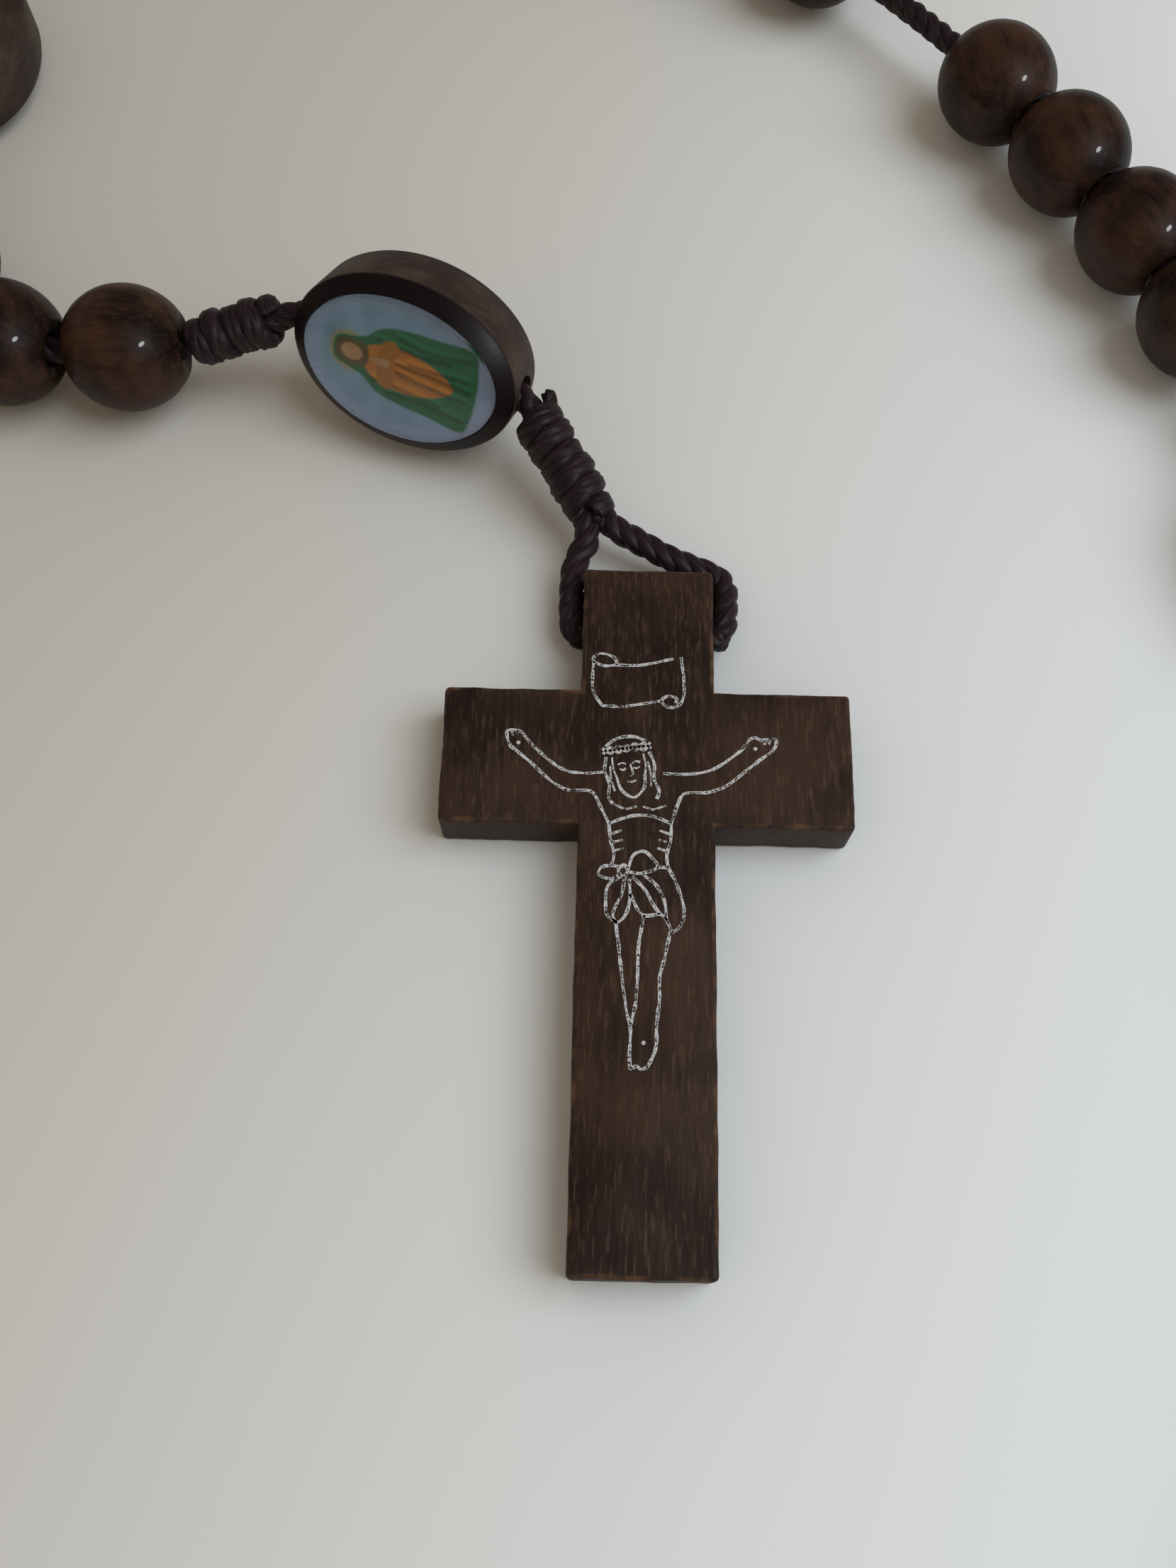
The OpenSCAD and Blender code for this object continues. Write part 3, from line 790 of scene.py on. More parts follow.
# Half of the section across the oval's width: out from the middle, then up from the cord.
OVAL_SECTION = [
    (0, SEAT_FLOOR), (SEAT_R, SEAT_FLOOR), (SEAT_R, 2.43), (4.31, 2.47), (4.74, 2.16), (5.08, 1.86),
    (5.2, 1.73), (OVAL_HALF_W, 1.56), (OVAL_HALF_W, -1.78), (5.2, -1.96), (5.08, -2.14), (4.9, -2.32),
    (4.72, -2.44), (4.5, OVAL_BACK), (0, OVAL_BACK),
]
SHOULDER_FROM_R = 4.24
SHOULDER_FROM_Z = 1.61
# Painted shade: the bevelled shoulder is coloured darker than the wall, for the dark room its slope
# mirrors.
SHOULDER_PAINTED_SHADE = (0.0078, 0.004, 0.004, 1)
STRETCH_FROM_R = 4.15
OVAL_GRAIN_STEP = np.array((31.0, 17.0, 0.0))
FACE_DOWN = 180
RING_OVAL_ROLL = 22.821
OVALS = {
    "pendant_oval": on_cord(lean_middle, LEAN_YAW, LEAN_PITCH, LEAN_ROLL),
    "centre_oval": on_cord(centre_middle, CENTRE_YAW, 0, FACE_DOWN),
}
for number in range(DECADES - 1):
    run = decade_start(number + 1) - RING_LEAD - KNOT_LEN - RING_LEAD - OVAL_LEN / 2
    OVALS[f"ring_oval_{number + 1}"] = on_ring(run, RING_OVAL_ROLL)

oval_wood, nodes, links, shader = new_material("oval_wood")
figure = figured(attribute("grain").outputs["Vector"], dark=(0.028, 0.0172, 0.0128, 1),
                 warm=(0.066, 0.0425, 0.033, 1), fleck=(0.085, 0.056, 0.042, 1),
                 streak_scale=3.2, patch_scale=0.3, fleck_share=0.25)
# The shoulder gets a painted shade, darker than the wall, and is also made a little glossier.
shoulder_shade_and_gloss = attribute("shoulder").outputs["Fac"]
feed(shader.inputs["Base Color"], mix_colours(shoulder_shade_and_gloss, figure["Color"], SHOULDER_PAINTED_SHADE))
feed(shader.inputs["Roughness"], ranged(shoulder_shade_and_gloss, to_low=0.55, to_high=0.42))
raise_relief(figure["Height"], strength=0.3, distance=0.06 * MM)
feed(shader.inputs["Specular IOR Level"], 0.2)


def drilled(piece_mesh, centre, radius, length):
    """A mesh with a round hole along its X."""
    bm = bmesh.new()
    bmesh.ops.create_cone(bm, cap_ends=True, segments=BORE_STEPS, radius1=radius, radius2=radius,
                          depth=length)
    bmesh.ops.rotate(bm, verts=bm.verts, matrix=Matrix.Rotation(math.pi / 2, 3, "Y"))
    bmesh.ops.translate(bm, verts=bm.verts, vec=centre)
    drill_mesh = bpy.data.meshes.new("drill")
    bm.to_mesh(drill_mesh)
    bm.free()
    drill = place_mesh("drill", drill_mesh)
    blank = place_mesh("blank", piece_mesh)
    cut = blank.modifiers.new("bore", "BOOLEAN")
    cut.object = drill
    cut.operation = "DIFFERENCE"
    cut.solver = "EXACT"
    made = bpy.data.meshes.new_from_object(blank.evaluated_get(bpy.context.evaluated_depsgraph_get()))
    bpy.data.objects.remove(blank)
    bpy.data.objects.remove(drill)
    return made


def oval_shape():
    """One oval about its middle, in millimetres, its picture seat facing up."""
    mesh = spun("oval_blank", [(out, 0, up) for out, up in OVAL_SECTION], (0, 0, 1), OVAL_STEPS)
    bm = bmesh.new()
    bm.from_mesh(mesh)
    longer = OVAL_LEN / 2 - OVAL_HALF_W
    layer = bm.verts.layers.float_vector.new("grain")
    shoulder = bm.verts.layers.float.new("shoulder")
    for vert in bm.verts:
        reach = math.hypot(vert.co.x, vert.co.y)
        vert[shoulder] = float(reach > SHOULDER_FROM_R and vert.co.z > SHOULDER_FROM_Z)
        vert.co.x *= 1 + longer / max(reach, STRETCH_FROM_R)
        vert[layer] = vert.co
    bm.to_mesh(mesh)
    bm.free()
    return drilled(mesh, (0, 0, 0), OVAL_BORE_R, 2 * OVAL_LEN)


oval_blank = oval_shape()
for number, (node, place) in enumerate(OVALS.items()):
    mesh = oval_blank.copy()
    grain_run = np.empty(len(mesh.vertices) * 3)
    mesh.attributes["grain"].data.foreach_get("vector", grain_run)
    grain_run = grain_run.reshape(-1, 3) + number * OVAL_GRAIN_STEP
    mesh.attributes["grain"].data.foreach_set("vector", grain_run.ravel())
    mesh.transform(place @ Matrix.Scale(MM, 4))
    mesh.shade_smooth()
    mesh.set_sharp_from_angle(angle=OVAL_SHARP)
    mesh.materials.clear()
    mesh.materials.append(oval_wood)
    piece = place_mesh(node + "_wood", mesh)
    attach(piece, node)
    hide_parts(node)


# Pictures. A small colour print on card in each oval's seat: a robed figure standing
# with joined hands on a hazy blue ground, soft at this size.

PICTURE_HALF_LEN = 6.05
PICTURE_HALF_W = 4.2
PICTURE_TOP = 2.12
PICTURE_FOOT = 1.87
PICTURE_RINGS = 70
PICTURE_STEPS = 230

GROUND_FAR = (0.12, 0.225, 0.3)
GROUND_NEAR = (0.155, 0.235, 0.345)
# A painted sheen of the resin dome, laid over the print towards its rim.
PAINTED_RIM_SHEEN = (0.26, 0.29, 0.44)
SKIN = (0.3, 0.17, 0.08)
LIPS = (0.2, 0.08, 0.055)
HAIR = (0.07, 0.055, 0.018)
HALO = (0.2, 0.185, 0.075)
# The colours of each figure's mantle and robe.
MANTLES = {
    "pendant_oval": ((0.007, 0.095, 0.034), (0.31, 0.112, 0.012)),
    "centre_oval": ((0.03, 0.06, 0.16), (0.3, 0.27, 0.24)),
    "ring_oval_1": ((0.13, 0.035, 0.03), (0.07, 0.09, 0.17)),
    "ring_oval_2": ((0.09, 0.055, 0.03), (0.3, 0.26, 0.18)),
    "ring_oval_3": ((0.03, 0.06, 0.16), (0.17, 0.06, 0.055)),
    "ring_oval_4": ((0.016, 0.092, 0.046), (0.3, 0.26, 0.18)),
}

# Outlines in the picture's own millimetres: across, then up towards the head.
MANTLE_EDGE = [
    (0.0, 4.25), (-0.75, 4.0), (-1.0, 3.1), (-1.25, 2.2), (-1.95, 1.2), (-2.25, -0.4), (-2.35, -2.2),
    (-2.55, -4.3), (-1.5, -4.75), (0.0, -4.85), (1.6, -4.7), (2.75, -4.2), (2.65, -2.0), (2.5, 0.0),
    (2.1, 1.4), (1.3, 2.3), (1.0, 3.1), (0.75, 4.0),
]
ROBE_EDGE = [
    (-0.5, 2.3), (-1.15, 1.5), (-1.4, 0.2), (-1.3, -1.2), (-0.85, -2.6), (-0.1, -3.4), (0.6, -2.7),
    (1.1, -1.3), (1.25, 0.2), (1.05, 1.5), (0.5, 2.3),
]
SLEEVES_EDGE = [
    (-1.55, 0.5), (-1.3, 1.2), (-0.55, 1.35), (0.0, 1.5), (0.55, 1.35), (1.3, 1.2), (1.55, 0.5),
    (0.9, 0.15), (0.0, 0.6), (-0.9, 0.15),
]
HANDS_EDGE = [(-0.3, 0.75), (-0.22, 1.4), (0.0, 1.85), (0.22, 1.4), (0.3, 0.75), (0.0, 0.6)]
VEIL_EDGE = [
    (0.0, 4.15), (-0.62, 3.85), (-0.82, 3.1), (-0.7, 2.2), (0.0, 1.95), (0.7, 2.2), (0.82, 3.1),
    (0.62, 3.85),
]
FOLDS = [
    ((-1.75, 0.6), (-1.6, -1.4), (-1.85, -4.2)), ((1.9, 0.4), (1.65, -1.6), (2.05, -4.1)),
    ((-1.2, 1.6), (-1.25, -0.6), (-1.4, -2.8)), ((1.35, 1.5), (1.25, -0.9), (1.5, -3.0)),
    ((-0.35, 0.1), (-0.45, -1.8), (-0.6, -4.3)), ((0.2, 0.2), (0.25, -2.0), (0.1, -4.4)),
    ((0.5, -0.6), (0.6, -2.4), (0.75, -4.2)),
]
FOLD_SOFT = 0.16
FOLD_BESIDE = 0.26
FOLD_DARK = 0.5
FOLD_LIGHT = 0.4
SLEEVE_SHADE = 0.8
FACE_AT = 3.05
FACE_HALF = (0.5, 0.68)
FACE_CRISP = 4
EYE_OUT = 0.2
EYE_SOFT = 0.09
EYE_FLAT = 2
MOUTH_DROP = 0.4
MOUTH_SOFT = 0.07
MOUTH_WIDE = 0.6
EYE_SHARE = 0.8
MOUTH_SHARE = 0.6
HALO_AT = 3.2
HALO_R = 1.45
HALO_SOFT = 0.3
HALO_SHARE = 0.75
CLOUD_SCALE = (0.5, 0.8)
CLOUD_SLICE = 3.1
CLOUD_SHARE = 0.22
SHEEN_FROM = 0.78
SHEEN_GAIN = 2.6
EDGE_SOFT = 0.12
EDGE_STEPS = 6
STROKE_STEPS = 8
TINY = 1e-12


def to_stretch(points, start, end):
    """How far each point lies from a straight stretch."""
    edge = end - start
    reach = points - start
    share = np.clip(reach @ edge / (edge @ edge + TINY), 0, 1)
    return np.linalg.norm(reach - share[:, None] * edge, axis=1)


def to_outline(points, outline):
    """How far each point lies inside a smooth closed outline; outside it is below zero."""
    corners = np.array(flowing(outline + outline[:1], EDGE_STEPS))
    least = np.full(len(points), np.inf)
    inner = np.zeros(len(points), bool)
    for start, end in zip(corners, np.roll(corners, -1, 0)):
        least = np.minimum(least, to_stretch(points, start, end))
        spans = (start[1] > points[:, 1]) != (end[1] > points[:, 1])
        slope = (end[0] - start[0]) / (end[1] - start[1] + TINY)
        inner ^= spans & (points[:, 0] < start[0] + slope * (points[:, 1] - start[1]))
    return np.where(inner, least, -least)


def near_stroke(points, stroke):
    """How much of a soft fold reaches each point, from 0 to 1."""
    line = np.array(flowing(stroke, STROKE_STEPS))
    least = np.min([to_stretch(points, start, end) for start, end in zip(line, line[1:])], axis=0)
    return np.exp(-(least / FOLD_SOFT) ** 2)


def laid_over(paint, colour, share):
    """Paint with a colour laid over it by a share from 0 to 1."""
    share = np.clip(share, 0, 1)[:, None]
    return paint * (1 - share) + np.array(colour) * share


def filled(paint, colour, depth):
    """Paint with a colour laid over a shape by how deep each point lies in it."""
    return laid_over(paint, colour, depth / EDGE_SOFT + 0.5)


def painted(points, mantle, robe):
    """The print's colour at each point, paler towards its rim with a painted sheen of the resin over it."""
    x, y = points.T
    rise = (y + PICTURE_HALF_LEN) / (2 * PICTURE_HALF_LEN)
    paint = laid_over(np.tile(GROUND_NEAR, (len(points), 1)), GROUND_FAR, rise)
    cloud = [noise.noise((*(point * CLOUD_SCALE), CLOUD_SLICE)) for point in points]
    paint = paint * (1 + CLOUD_SHARE * np.array(cloud))[:, None]
    # Painted sheen: the print turns pale lavender towards its rim, where the resin dome's edge would mirror
    # the room.
    rim = np.hypot(x / PICTURE_HALF_W, y / PICTURE_HALF_LEN)
    paint = laid_over(paint, PAINTED_RIM_SHEEN, (rim - SHEEN_FROM) * SHEEN_GAIN)
    paint = laid_over(paint, HALO, HALO_SHARE * (HALO_R - np.hypot(x, y - HALO_AT)) / HALO_SOFT)
    in_mantle = to_outline(points, MANTLE_EDGE)
    paint = filled(paint, mantle, in_mantle)
    paint = filled(paint, robe, to_outline(points, ROBE_EDGE))
    for fold in FOLDS:
        lit_side = [(across + FOLD_BESIDE, up) for across, up in fold]
        paint = paint * (1 - FOLD_DARK * near_stroke(points, fold) * (in_mantle > 0))[:, None]
        paint = paint * (1 + FOLD_LIGHT * near_stroke(points, lit_side) * (in_mantle > 0))[:, None]
    paint = filled(paint, np.array(robe) * SLEEVE_SHADE, to_outline(points, SLEEVES_EDGE))
    paint = filled(paint, SKIN, to_outline(points, HANDS_EDGE))
    paint = filled(paint, HAIR, to_outline(points, VEIL_EDGE))
    face = np.hypot(x / FACE_HALF[0], (y - FACE_AT) / FACE_HALF[1])
    paint = laid_over(paint, SKIN, (1 - face) * FACE_CRISP + 0.5)
    for side in (-1, 1):
        eye = np.hypot(x - side * EYE_OUT, (y - FACE_AT) * EYE_FLAT)
        paint = laid_over(paint, HAIR, EYE_SHARE * np.exp(-(eye / EYE_SOFT) ** 2))
    mouth = np.hypot(x * MOUTH_WIDE, y - FACE_AT + MOUTH_DROP)
    paint = laid_over(paint, LIPS, MOUTH_SHARE * np.exp(-(mouth / MOUTH_SOFT) ** 2))
    return np.clip(paint, 0, 1)


picture_print, nodes, links, shader = new_material("picture_print")
dots = noise_on(nodes.new("ShaderNodeTexCoord").outputs["Object"], scale=9000, detail=1)
speckled = nodes.new("ShaderNodeMix")
speckled.data_type = "RGBA"
speckled.blend_type = "MULTIPLY"
feed(speckled.inputs["Factor"], 1)
feed(speckled.inputs["A"], attribute("paint").outputs["Color"])
feed(speckled.inputs["B"], ranged(dots, to_low=0.75, to_high=1.25))
feed(shader.inputs["Base Color"], speckled.outputs["Result"])
feed(shader.inputs["Roughness"], 0.4)

# The flat print about the oval's middle, in millimetres.
card_section = [(PICTURE_HALF_W * ring / PICTURE_RINGS, 0, PICTURE_TOP)
                for ring in range(PICTURE_RINGS + 1)]
card_section += [(PICTURE_HALF_W, 0, PICTURE_FOOT), (0, 0, PICTURE_FOOT)]
card = spun("picture_card", card_section, (0, 0, 1), PICTURE_STEPS)
card.transform(Matrix.Scale(PICTURE_HALF_LEN / PICTURE_HALF_W, 4, (1, 0, 0)))
card_points = np.empty(len(card.vertices) * 3)
card.vertices.foreach_get("co", card_points)
card_points = card_points.reshape(-1, 3)
card_plan = np.c_[-card_points[:, 1], card_points[:, 0]]
for node, place in OVALS.items():
    mesh = card.copy()
    colours = np.c_[painted(card_plan, *MANTLES[node]), np.ones(len(card_plan))]
    layer = mesh.attributes.new("paint", "FLOAT_COLOR", "POINT")
    layer.data.foreach_set("color", colours.ravel())
    mesh.transform(place @ Matrix.Scale(MM, 4))
    mesh.materials.append(picture_print)
    piece = place_mesh(node + "_print", mesh)
    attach(piece, node)
    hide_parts(node + "_picture")


# Domes. Clear resin poured over each picture, level with the shoulder and a little
# raised in the middle. Light passes through it to the print.

RESIN_TINT = (0.97, 0.97, 0.98, 1)
RESIN_IOR = 1.46

clear_resin, nodes, links, shader = new_material("clear_resin")
haze = noise_on(nodes.new("ShaderNodeTexCoord").outputs["Object"], scale=260, detail=3)
feed(shader.inputs["Roughness"], ranged(haze, to_low=0.02, to_high=0.16))
feed(shader.inputs["Base Color"], RESIN_TINT)
feed(shader.inputs["Transmission Weight"], 1)
feed(shader.inputs["IOR"], RESIN_IOR)
rays = nodes.new("ShaderNodeLightPath")
passing = nodes.new("ShaderNodeBsdfTransparent")
through = nodes.new("ShaderNodeMixShader")
unseen = math_node("MAXIMUM", rays.outputs["Is Shadow Ray"], rays.outputs["Is Diffuse Ray"])
feed(through.inputs["Fac"], unseen)
feed(through.inputs[1], shader.outputs["BSDF"])
feed(through.inputs[2], passing.outputs["BSDF"])
feed(nodes["Material Output"].inputs["Surface"], through.outputs["Shader"])
for node in OVALS:
    dome = bpy.data.objects[node + "_dome"]
    dome.data.materials.clear()
    dome.data.materials.append(clear_resin)


# Cross. Sawn from one flat of dark hardwood, its edges eased by hand and worn
# paler; the head is drilled from side to side for the cord's loop.

CROSS_ARM = 11.4
CROSS_HEAD = 11.7
CROSS_ARM_TOP = 4.0
CROSS_ARM_FOOT = -4.0
CROSS_FOOT = -27.4
CROSS_T = 3.5
CROSS_CUTS = 17
CROSS_EASE = 0.26
CROSS_EASE_STEPS = 3
CROSS_SHARP = math.radians(32)
CORNER_FROM = 0.8
LEVEL_WITHIN = 1e-6
SAW_SEED = 5
SAW_WAVER = 0.05
SAW_SLOW = 0.55
SAW_FAST = 1.9
SAW_FAST_SHARE = 0.6
HOLE_R = 1.0
WORN = (0.115, 0.06, 0.03, 1)
WEAR_FROM = 0.7 * MM
WEAR_FULL = 0.05 * MM

cross_wood, nodes, links, shader = new_material("cross_wood")
place_in = nodes.new("ShaderNodeTexCoord").outputs["Object"]
lengthwise = nodes.new("ShaderNodeMapping")
feed(lengthwise.inputs["Vector"], place_in)
feed(lengthwise.inputs["Rotation"], (0, 0, math.pi / 2))
feed(lengthwise.inputs["Scale"], (1 / MM, 1 / MM, 1 / MM))
figure = figured(lengthwise.outputs["Vector"], dark=(0.0185, 0.0094, 0.0068, 1),
                 warm=(0.047, 0.0255, 0.0155, 1), fleck=(0.098, 0.056, 0.034, 1),
                 streak_scale=2.8, patch_scale=0.17, fleck_share=0.6)
axes = nodes.new("ShaderNodeSeparateXYZ")
feed(axes.inputs["Vector"], place_in)


def inside_bar(half, foot, head):
    """How far a point lies inside an upright bar of the cross."""
    across = math_node("SUBTRACT", half * MM, math_node("ABSOLUTE", axes.outputs["X"]))
    above = math_node("SUBTRACT", axes.outputs["Y"], foot * MM)
    below = math_node("SUBTRACT", head * MM, axes.outputs["Y"])
    return math_node("MINIMUM", across, math_node("MINIMUM", above, below))


stem_in = inside_bar(CROSS_STEM, CROSS_FOOT, CROSS_HEAD)
arms_in = inside_bar(CROSS_ARM, CROSS_ARM_FOOT, CROSS_ARM_TOP)
face_in = math_node("MAXIMUM", stem_in, arms_in)
wall_in = math_node("MINIMUM", axes.outputs["Z"], math_node("SUBTRACT", CROSS_T * MM, axes.outputs["Z"]))
from_edge = math_node("MAXIMUM", face_in, wall_in)
near_edge = ranged(from_edge, WEAR_FROM, WEAR_FULL, way="SMOOTHSTEP")
rubbed = math_node("MULTIPLY", near_edge, noise_on(place_in, scale=900, detail=4))
wear = ranged(rubbed, low=0.42, high=0.72)
feed(shader.inputs["Base Color"], mix_colours(wear, figure["Color"], WORN))
raise_relief(figure["Height"], strength=0.45, distance=0.08 * MM)
feed(shader.inputs["Roughness"], 0.55)
feed(shader.inputs["Specular IOR Level"], 0.18)

bm = bmesh.new()
right_side = [
    (CROSS_STEM, CROSS_HEAD), (CROSS_STEM, CROSS_ARM_TOP), (CROSS_ARM, CROSS_ARM_TOP),
    (CROSS_ARM, CROSS_ARM_FOOT), (CROSS_STEM, CROSS_ARM_FOOT), (CROSS_STEM, CROSS_FOOT),
]
corners = [(-x, y) for x, y in right_side] + right_side[::-1]
outline = bm.faces.new([bm.verts.new((x, y, 0)) for x, y in corners])
raised = bmesh.ops.extrude_face_region(bm, geom=[outline])["geom"]
front = [item for item in raised if isinstance(item, bmesh.types.BMVert)]
bmesh.ops.translate(bm, verts=front, vec=(0, 0, CROSS_T))
bmesh.ops.recalc_face_normals(bm, faces=bm.faces)
level = [edge for edge in bm.edges if abs(edge.verts[0].co.z - edge.verts[1].co.z) < LEVEL_WITHIN]
bmesh.ops.subdivide_edges(bm, edges=level, cuts=CROSS_CUTS, use_grid_fill=True)
noise.seed_set(SAW_SEED)
for vert in bm.verts:
    pull = noise.noise_vector(vert.co * SAW_SLOW) + SAW_FAST_SHARE * noise.noise_vector(vert.co * SAW_FAST)
    vert.co += Vector((pull.x, pull.y, 0)) * SAW_WAVER
sharp = [edge for edge in bm.edges
         if len(edge.link_faces) == 2 and edge.is_convex and edge.calc_face_angle() > CORNER_FROM]
bmesh.ops.bevel(bm, geom=sharp, offset=CROSS_EASE, offset_type="OFFSET", segments=CROSS_EASE_STEPS,
                profile=0.5, affect="EDGES", material=-1)
mesh = bpy.data.meshes.new("cross_blank")
bm.to_mesh(mesh)
bm.free()
mesh = drilled(mesh, HOLE_AT, HOLE_R, 4 * CROSS_STEM)
mesh.transform(Matrix.Scale(MM, 4))
mesh.shade_smooth()
mesh.set_sharp_from_angle(angle=CROSS_SHARP)
mesh.materials.clear()
mesh.materials.append(cross_wood)
piece = place_mesh("cross_timber", mesh)
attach(piece, "crucifix")
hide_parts("crucifix")


# Foil drawing. A traditional line figure with a scroll above it, pressed on the
# cross's face in silver foil; the foil is thin, broken and speckled.

FOIL_RISE = 0.008
NAIL_RISE = 0.012
FOIL_STEP = 0.09
FOIL_W = 0.165
FINE_W = 0.12
HEAD_W = 0.16
FACE_W = 0.1
NAIL_R = 0.11
NAIL_SIDES = 18
LINE_STEPS = 8
FOIL_BARE = (0.04, 0.028, 0.023, 1)
FOIL_SILVER = (0.74, 0.74, 0.74, 1)
FOIL_RUB = 0.6
FOIL_RIM = 0.34
FOIL_METAL = 0.35
# How a line's width and middle wander: scale along it, step from line to line, slice, share.
WIDTH_WANDER = (3.1, 7.7, 0.4, 0.22)
MIDDLE_WANDER = (1.7, 5.3, 9.2, 0.12)

# The drawing's lines in millimetres from the middle of the crossing, right and then up.
SCROLL_LINES = [
    [(-1.73, 5.53), (-2.43, 5.47), (-3.1, 5.75), (-2.95, 6.15), (-2.45, 6.22), (-1.9, 5.98), (-1.73, 5.53)],
    [(-1.73, 5.53), (-0.62, 5.53), (0.38, 5.72), (1.45, 6.0)],
    [(1.88, 6.12), (2.02, 4.9), (2.05, 3.9), (1.9, 3.3), (1.6, 3.0)],
    [(1.6, 3.0), (1.1, 3.02), (0.78, 3.37), (1.15, 3.68), (1.62, 3.55), (1.6, 3.25)],
    [(0.78, 3.37), (-0.22, 3.18), (-1.43, 2.98), (-2.55, 3.0)],
    [(-3.1, 5.75), (-3.12, 4.7), (-3.05, 3.8), (-2.55, 3.0)],
]
BODY_LINES = [
    [(-7.0, 1.3), (-6.2, 0.35), (-4.7, -0.85), (-3.4, -1.08), (-2.4, -0.98)],
    [(-7.6, 0.45), (-6.5, -0.45), (-5.3, -1.55), (-4.3, -2.1), (-3.1, -2.12), (-2.55, -2.95),
     (-2.05, -4.0)],
    [(-7.6, 0.45), (-7.75, 0.85), (-7.8, 1.32), (-7.4, 1.42), (-7.0, 1.3)],
    [(5.65, 1.1), (5.0, 0.3), (3.6, -0.7), (2.2, -1.0), (0.9, -0.98)],
    [(6.95, 0.5), (5.6, -0.6), (4.4, -1.6), (3.3, -2.05), (2.05, -2.15), (1.65, -2.95), (1.35, -3.9)],
    [(6.95, 0.5), (7.15, 0.85), (7.08, 1.22), (6.4, 1.12), (5.95, 1.28), (5.65, 1.1)],
    [(-2.05, -4.0), (-1.2, -3.62), (-0.4, -3.45), (0.5, -3.55), (1.35, -3.9)],
    [(-2.05, -4.0), (-1.95, -4.9), (-1.75, -5.7), (-1.85, -6.35)],
    [(1.35, -3.9), (1.3, -4.9), (1.1, -5.7), (1.2, -6.4)],
    [(-1.6, -9.45), (-1.35, -11.3), (-1.2, -12.6), (-0.95, -14.2), (-0.75, -15.2), (-0.78, -16.4),
     (-0.74, -17.2)],
    [(-0.1, -9.1), (-0.35, -10.6), (-0.4, -12.4), (-0.5, -13.8), (-0.72, -14.9)],
    [(1.3, -9.95), (1.0, -11.4), (0.75, -12.4), (0.75, -13.6), (0.6, -15.0), (0.58, -16.1), (0.15, -17.1)],
    [(-0.74, -17.2), (-0.4, -17.05), (-0.2, -17.2), (0.15, -17.1)],
]
CLOTH_LINES = [
    [(-0.95, -6.62), (-1.2, -6.3), (-1.5, -6.6), (-1.25, -6.95), (-0.95, -6.62)],
    [(-1.45, -6.4), (-2.3, -6.4), (-2.55, -6.85), (-1.95, -7.1), (-1.4, -6.85)],
    [(-0.95, -6.45), (-0.7, -5.75), (-0.15, -5.5), (0.3, -5.85), (0.6, -6.4), (-0.2, -6.75), (-0.9, -6.7)],
    [(0.6, -6.4), (1.2, -6.4)],
    [(1.2, -6.4), (1.75, -7.6), (2.05, -8.8), (1.85, -9.6), (1.4, -10.0)],
    [(-1.35, -6.95), (-2.05, -7.5), (-2.15, -8.5), (-2.05, -9.1), (-1.55, -9.5)],
    [(-1.15, -6.95), (-1.3, -7.9), (-1.75, -9.0), (-1.55, -9.5), (-1.1, -9.1), (-0.85, -8.2), (-0.9, -7.0)],
    [(-0.85, -7.9), (-0.35, -8.9), (0.1, -9.1), (0.75, -9.0), (1.1, -9.3), (1.4, -10.0)],
    [(-0.75, -6.95), (-0.1, -7.6), (0.35, -8.4), (0.75, -9.0)],
    [(-0.2, -6.8), (0.55, -7.4), (1.0, -8.3), (1.1, -9.3)],
]
FINE_LINES = [
    [(-7.55, 1.38), (-7.48, 1.05)], [(-7.25, 1.38), (-7.22, 1.1)], [(6.85, 1.15), (6.74, 0.88)],
    [(6.55, 1.12), (6.5, 0.85)], [(-1.8, -2.85), (-1.15, -3.1), (-0.55, -2.95)],
    [(-0.2, -2.95), (0.4, -3.1), (1.05, -2.85)],
    [(-1.9, -4.55), (-1.35, -4.35)], [(-1.85, -5.05), (-1.28, -4.88)], [(-1.72, -5.5), (-1.22, -5.36)],
    [(1.25, -4.5), (0.72, -4.3)], [(1.2, -5.0), (0.66, -4.84)], [(1.08, -5.46), (0.6, -5.32)],
]
NAILS = [(-7.15, 0.65), (6.0, 0.6), (-0.05, -15.85)]

# The head's lines in millimetres from its own middle, before it is tilted.
HEAD_AT = Vector((-0.95, -0.75, 0))
HEAD_TILT = math.radians(9)
HEAD_LINES = [
    [(-1.2, 0.85), (-1.38, 0.1), (-1.25, -0.75), (-1.4, -1.5), (-1.2, -1.95)],
    [(1.2, 0.85), (1.38, 0.1), (1.25, -0.75), (1.4, -1.5), (1.2, -1.95)],
    [(-0.78, -0.45), (-0.62, -1.2), (0.0, -1.7), (0.62, -1.2), (0.78, -0.45)],
    [(-1.35, 1.05), (-0.9, 1.4), (-0.45, 1.02), (0.0, 1.42), (0.45, 1.02), (0.9, 1.4), (1.35, 1.05)],
    [(-1.35, 1.4), (-0.9, 1.02), (-0.45, 1.44), (0.0, 1.04), (0.45, 1.44), (0.9, 1.02), (1.35, 1.4)],
    [(-1.15, 1.5), (-0.6, 1.82), (0.0, 1.92), (0.6, 1.82), (1.15, 1.5)],
]
FACE_LINES = [
    [(-0.88, 0.8), (-0.9, 0.1), (-0.78, -0.45)], [(0.88, 0.8), (0.9, 0.1), (0.78, -0.45)],
    [(-0.62, 0.3), (-0.4, 0.4), (-0.16, 0.3)], [(0.16, 0.3), (0.4, 0.4), (0.62, 0.3)],
    [(-0.56, 0.06), (-0.38, -0.03), (-0.2, 0.06)], [(0.2, 0.06), (0.38, -0.03), (0.56, 0.06)],
    [(0.06, 0.28), (0.14, -0.32), (-0.06, -0.4)], [(-0.26, -0.72), (0.0, -0.78), (0.26, -0.72)],
    [(-1.05, 0.3), (-1.1, -0.5), (-1.0, -1.2)], [(1.05, 0.3), (1.1, -0.5), (1.0, -1.2)],
]

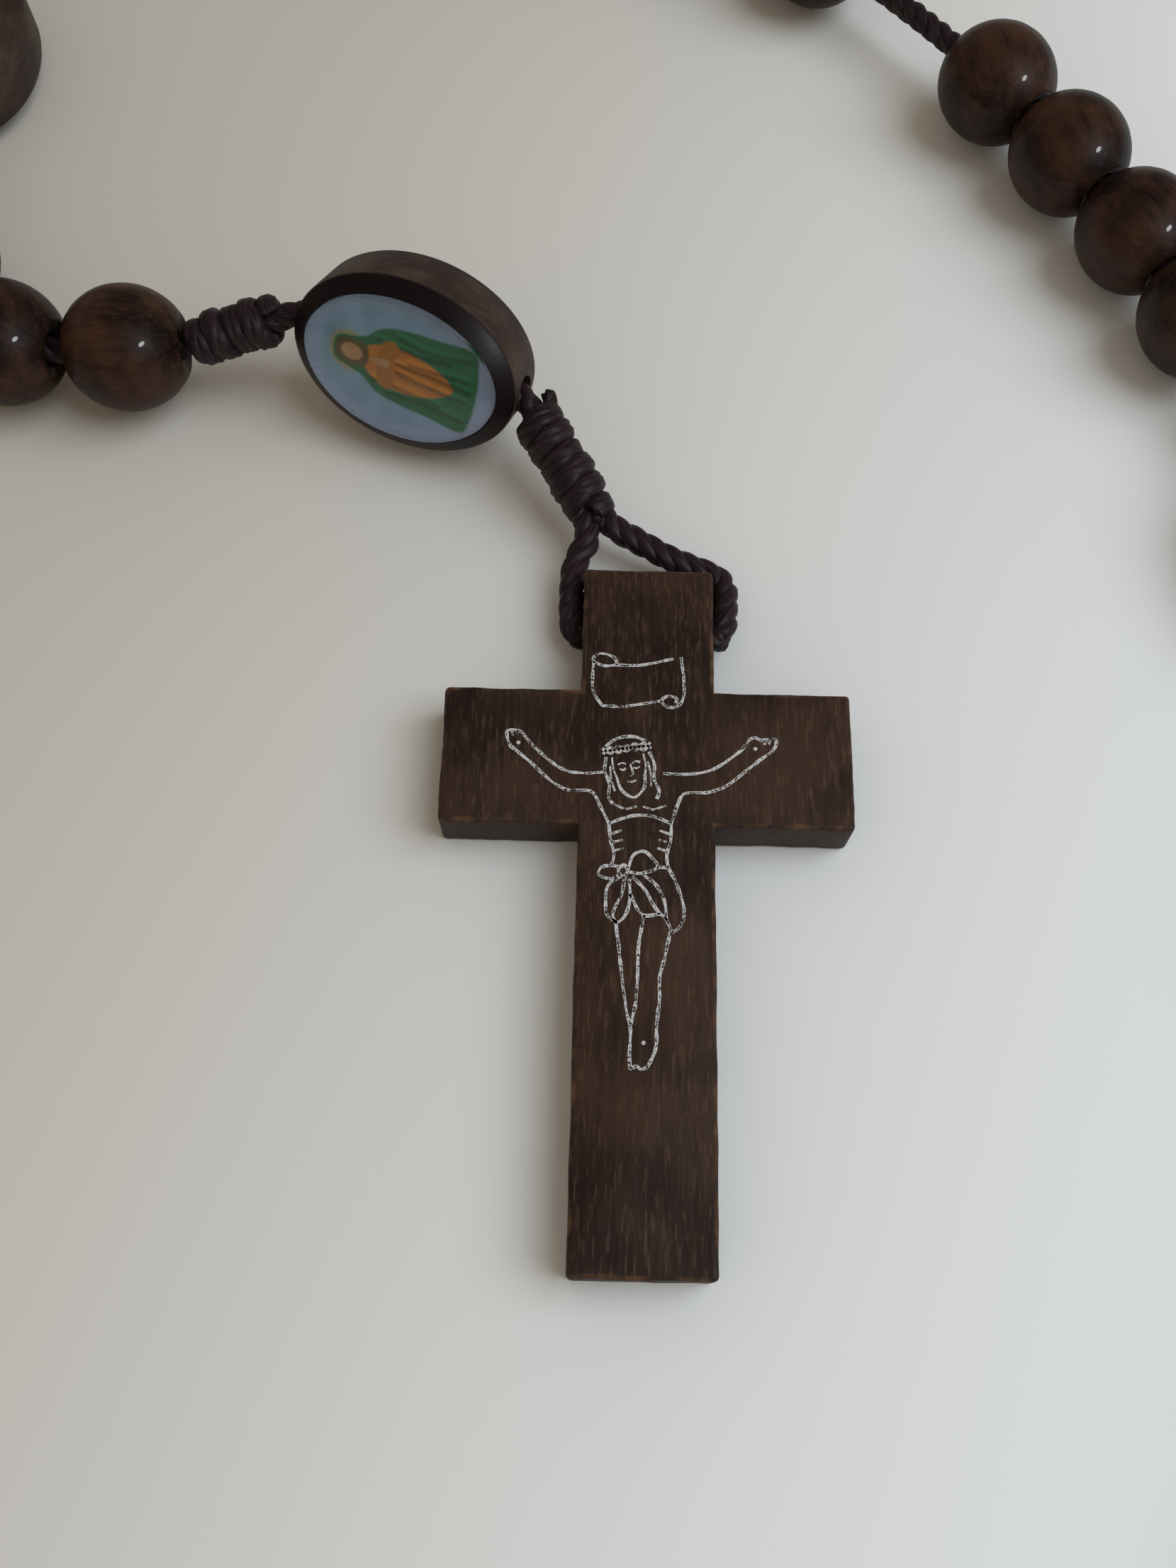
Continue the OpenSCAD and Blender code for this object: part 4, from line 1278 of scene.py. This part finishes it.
foil_silver, nodes, links, shader = new_material("foil_silver")
place_in = nodes.new("ShaderNodeTexCoord").outputs["Object"]
rim = math_node("ABSOLUTE", math_node("SUBTRACT", attribute("foil").outputs["Fac"], 0.5))
cover = math_node("MULTIPLY", noise_on(place_in, scale=1100, detail=3), FOIL_RUB)
cover = math_node("ADD", noise_on(place_in, scale=7500, detail=3), cover)
cover = math_node("ADD", cover, math_node("MULTIPLY", rim, FOIL_RIM))
held = ranged(cover, low=0.76, high=0.92)
feed(shader.inputs["Base Color"], mix_colours(held, FOIL_BARE, FOIL_SILVER))
feed(shader.inputs["Metallic"], math_node("MULTIPLY", held, FOIL_METAL))
feed(shader.inputs["Roughness"], 0.42)

bm = bmesh.new()
foil_layer = bm.verts.layers.float.new("foil")


def wander(along, number, pattern):
    """A slow uneven wave along a line, as a share of the line's width."""
    scale, step, slice_at, share = pattern
    return np.array([share * noise.noise((scale * run, step * number, slice_at)) for run in along])


def press_line(points, width, number):
    """One pressed line of foil on the cross's face."""
    smooth = [(x, y, CROSS_T + FOIL_RISE) for x, y in flowing(points, LINE_STEPS)]
    line, along = even_points(smooth, FOIL_STEP)
    ahead = np.gradient(line, axis=0)
    ahead /= np.linalg.norm(ahead, axis=1)[:, None]
    side = np.c_[-ahead[:, 1], ahead[:, 0], np.zeros(len(line))]
    spread = (0.5 + wander(along, number, WIDTH_WANDER)) * width
    sway = wander(along, number, MIDDLE_WANDER) * width
    chain = [bm.verts.new(point) for point in line + side * (sway - spread)[:, None]]
    edges = [bm.edges.new(pair) for pair in zip(chain, chain[1:])]
    made = set(bmesh.ops.extrude_edge_only(bm, edges=edges)["geom"])
    for vert, reach in zip(chain, side * (2 * spread)[:, None]):
        twin = next(edge.other_vert(vert) for edge in vert.link_edges if edge.other_vert(vert) in made)
        twin.co += Vector(reach)
        vert[foil_layer] = 0
        twin[foil_layer] = 1


head_turn = Matrix.Translation(HEAD_AT) @ Matrix.Rotation(HEAD_TILT, 4, "Z")


def on_head(line):
    """A line of the head at its place and tilt."""
    return [tuple((head_turn @ Vector((x, y, 0))).xy) for x, y in line]


strokes = [(line, FOIL_W) for line in SCROLL_LINES + BODY_LINES + CLOTH_LINES]
strokes += [(line, FINE_W) for line in FINE_LINES]
strokes += [(on_head(line), HEAD_W) for line in HEAD_LINES]
strokes += [(on_head(line), FACE_W) for line in FACE_LINES]
for number, (line, width) in enumerate(strokes):
    press_line(line, width, number)
for x, y in NAILS:
    dot = bmesh.ops.create_circle(bm, cap_ends=True, radius=NAIL_R, segments=NAIL_SIDES)["verts"]
    bmesh.ops.translate(bm, verts=dot, vec=(x, y, CROSS_T + NAIL_RISE))
    for vert in dot:
        vert[foil_layer] = 1
for face in bm.faces:
    face.normal_update()
    if face.normal.z < 0:
        face.normal_flip()
bmesh.ops.scale(bm, vec=(MM, MM, MM), verts=bm.verts)
mesh = bpy.data.meshes.new("foil_drawing")
bm.to_mesh(mesh)
bm.free()
mesh.materials.append(foil_silver)
piece = place_mesh("foil_drawing", mesh)
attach(piece, "crucifix")
